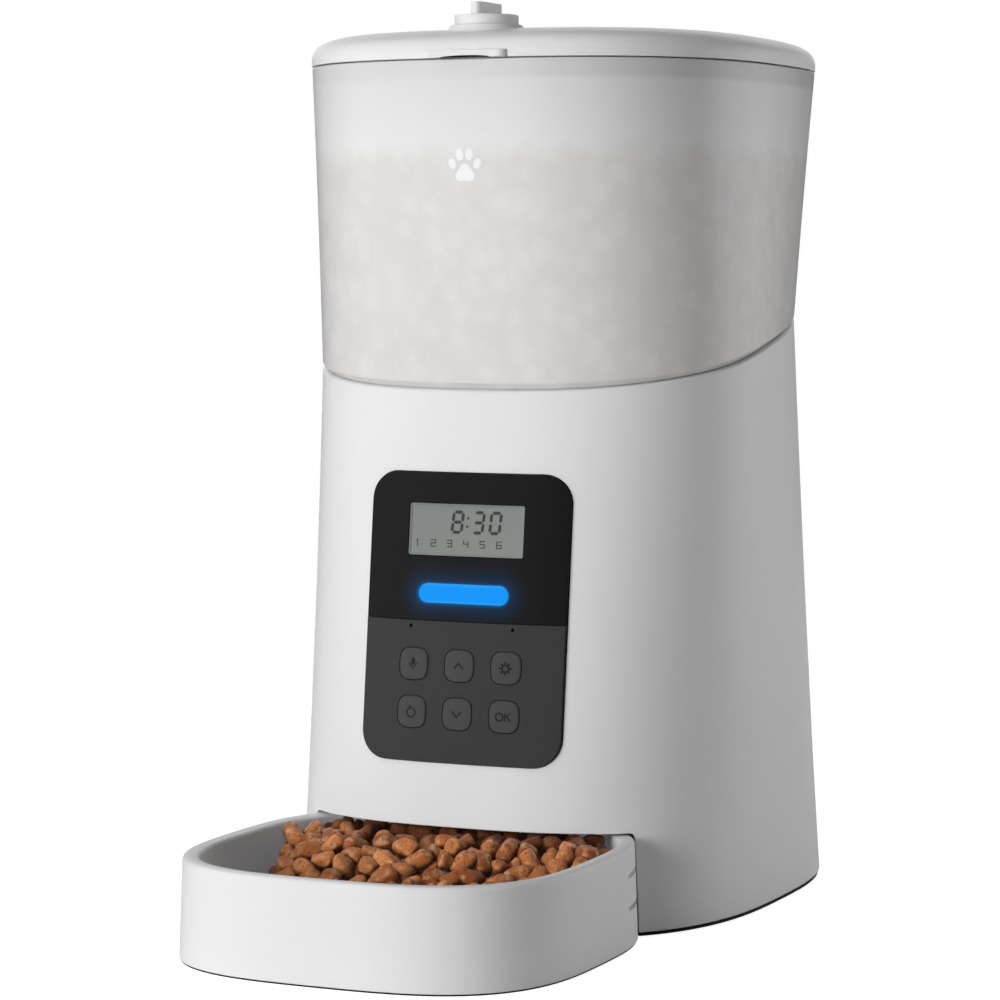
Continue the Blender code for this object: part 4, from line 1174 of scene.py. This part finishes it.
def inside(x, y, section, inset):
    across = abs(x / (section.half_x - inset)) ** section.power
    return across + abs((y - section.centre_y) / (section.half_y - inset)) ** section.power < 1


def heap_top(x, y):
    """Height of the heap's surface in the tray: level below the chute, then falling to the front."""
    brow = -119.0 - 5.0 * (1 - (x / 70.0) ** 2)
    return HEAP_Z - 0.5 * max(0.0, brow - y) + min(1.8, 0.2 * max(0.0, y - brow - 4.0))


def pour(tries, radius, seed):
    """Balls dropped one by one onto the heap's core, each rolling a little before it settles."""
    rng = random.Random(seed)
    wall = TRAY_DRAFT + TRAY_WALL + 1.6 + radius
    depth = 12.0
    resting = np.empty((0, 3))
    turns = [(math.cos(a), math.sin(a)) for a in np.linspace(0, 2 * math.pi, 8, endpoint=False)]

    def free(x, y):
        return inside(x, y, TRAY_SECTION, wall) and y < HEAP_BACK_Y

    def height(x, y):
        core = max(TRAY_FLOOR_Z, heap_top(x, y) - depth) + radius
        gap = (2 * radius) ** 2 - (resting[:, 0] - x) ** 2 - (resting[:, 1] - y) ** 2
        near = gap > 0
        return max(core, (resting[near, 2] + np.sqrt(gap[near])).max()) if near.any() else core

    for _ in range(tries):
        x, y = rng.uniform(-60, 70), rng.uniform(-195.0, HEAP_BACK_Y)
        if not free(x, y):
            continue
        z = height(x, y)
        for step in (2.0, 1.0, 0.5, 0.5):
            around = [(x + step * dx, y + step * dy) for dx, dy in turns]
            z, x, y = min([(height(*p), *p) for p in around if free(*p)] + [(z, x, y)])
        if z < heap_top(x, y) - 0.2 * radius:
            resting = np.vstack([resting, (x, y, z)])
    return resting


def stored_places(radius, seed):
    """Places for the kibble in the tank: two layers behind its wall and two across its top."""
    rng = random.Random(seed)
    places = []
    pitch = 1.9 * radius
    wall_top = KIBBLE_LINE_Z - WAIST_Z
    for layer in range(2):
        inset = TANK_WALL + radius * (1.45 + 1.5 * layer)
        rows = int((wall_top - 8) / pitch)
        for row in range(rows):
            ring = tank_ring(inset, wall_top - radius - row * pitch)
            length = np.linalg.norm(np.roll(ring, -1, 0) - ring, axis=1)
            along = np.concatenate([[0], np.cumsum(length)])
            count = int(along[-1] / pitch)
            for k in range(count):
                at = (k + 0.5 * (row % 2) + rng.uniform(-0.3, 0.3)) * along[-1] / count % along[-1]
                spot = ring[min(int(np.searchsorted(along, at)) - 1, RING - 1)]
                jitter = np.array([rng.uniform(-0.8, 0.8) for _ in range(3)])
                if spot[2] + jitter[2] < KIBBLE_LINE_Z - radius:
                    places.append(spot + jitter)
    for layer in range(2):
        z = KIBBLE_LINE_Z - radius - layer * pitch * 0.85
        for i in range(-14, 15):
            for j in range(-17, 18):
                x = (i + 0.5 * (j % 2) + 0.5 * layer) * pitch + rng.uniform(-1, 1)
                y = j * pitch * 0.87 + TOP_SECTION.centre_y + rng.uniform(-1, 1)
                if inside(x, y, TOP_SECTION, 6.0 + TANK_WALL + radius * 2.2):
                    places.append(np.array((x, y, z + rng.uniform(-1.2, 0.6))))
    return places


def build_kibble():
    heap = pour(2800, KIBBLE_RADIUS, 5)
    lumps, ceiling = kibble_shapes(3, 1), SKIRT_Z - 0.6
    tray = scatter("kibble_in_tray", heap, 1.05 * KIBBLE_RADIUS, lumps, "kibble", 3, 0.4, ceiling)
    tray.visible_diffuse = False  # it doesn't tint the white bowl
    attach(tray, "tray")
    places = stored_places(STORED_RADIUS, 8)
    stored = scatter("kibble_in_tank", places, 4.1, kibble_shapes(2, 2), "stored", 9, 1.0)
    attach(stored, "tank")


# ---- stage


def add_light(name, azimuth, elevation, width, height, watts, mirrored):
    """A soft box aimed at the feeder, which is either only or never seen mirrored in a surface."""
    light = bpy.data.lights.new(name, "AREA")
    light.shape = "RECTANGLE"
    light.size, light.size_y, light.energy = width, height, watts
    obj = add_object(name, light)
    turn, rise = math.radians(azimuth), math.radians(elevation)
    away = Vector((math.sin(turn) * math.cos(rise), -math.cos(turn) * math.cos(rise), math.sin(rise)))
    obj.location = Vector((0.0, 0.0, 0.2)) + away * LIGHT_DISTANCE
    obj.rotation_euler = (Vector((0.0, 0.0, 0.17)) - obj.location).to_track_quat("-Z", "Y").to_euler()
    obj.visible_glossy = mirrored
    obj.visible_diffuse = obj.visible_transmission = not mirrored


def set_world():
    """White to the camera, and a faint grey as light."""
    world = bpy.data.worlds.new("studio")
    bpy.context.scene.world = world
    world.use_nodes = True
    tree = world.node_tree
    seen, lighting = tree.nodes["Background"], tree.nodes.new("ShaderNodeBackground")
    for background, strength in ((seen, 1.0), (lighting, 0.02)):
        background.inputs["Color"].default_value = (1.0, 1.0, 1.0, 1.0)
        background.inputs["Strength"].default_value = strength
    rays = tree.nodes.new("ShaderNodeLightPath")
    mix = tree.nodes.new("ShaderNodeMixShader")
    sources = (rays.outputs["Is Camera Ray"], lighting.outputs[0], seen.outputs[0])
    for socket, source in zip(mix.inputs, sources):
        tree.links.new(source, socket)
    tree.links.new(mix.outputs[0], tree.nodes["World Output"].inputs["Surface"])


def build_floor():
    """A pale disc that turns to plain white away from the feeder."""
    floor = add_mesh("studio_floor", level(circle(4000.0, 96), 0.0), [list(range(96))], None)
    mat = Finish("studio_floor")
    mat.done({"Base Color": grey(0.8), "Roughness": 0.8, "Specular IOR Level": 0.0})
    lit = mat.shader.outputs[0]
    glow = mat.node("Emission", {"Strength": 0.85}).outputs[0]
    brighter = mat.node("AddShader", {0: lit, 1: glow}).outputs[0]
    length = mat.node("VectorMath", {0: mat.at}, operation="LENGTH").outputs["Value"]
    far = mat.rise(length, 0.25, 0.8)
    white = mat.node("Emission").outputs[0]
    seen = mat.node("MixShader", {0: far, 1: brighter, 2: white}).outputs[0]
    by_camera = mat.node("LightPath").outputs["Is Camera Ray"]
    surface = mat.node("MixShader", {0: by_camera, 1: lit, 2: seen}).outputs[0]
    mat.feed(mat.tree.nodes["Material Output"], {"Surface": surface})
    floor.data.materials.append(mat.material)


def build_stage():
    scene = bpy.context.scene
    scene.view_settings.view_transform = "Standard"
    camera = bpy.data.cameras.new("camera")
    camera.lens = CAMERA_LENS_MM
    camera.sensor_width = SENSOR_MM
    obj = add_object("camera", camera)
    obj.location = CAMERA_AT
    obj.rotation_euler = (math.radians(90 - CAMERA_DIP), 0.0, math.radians(CAMERA_TURN))
    scene.camera = obj
    set_world()
    build_floor()
    for light in LIGHTS:
        add_light(*light)


finish_frame()
build_housing()
build_base()
build_panel()
build_keys()
build_digits()
build_tray()
build_tank()
build_mark()
build_lid()
build_knob()
build_kibble()
build_stage()
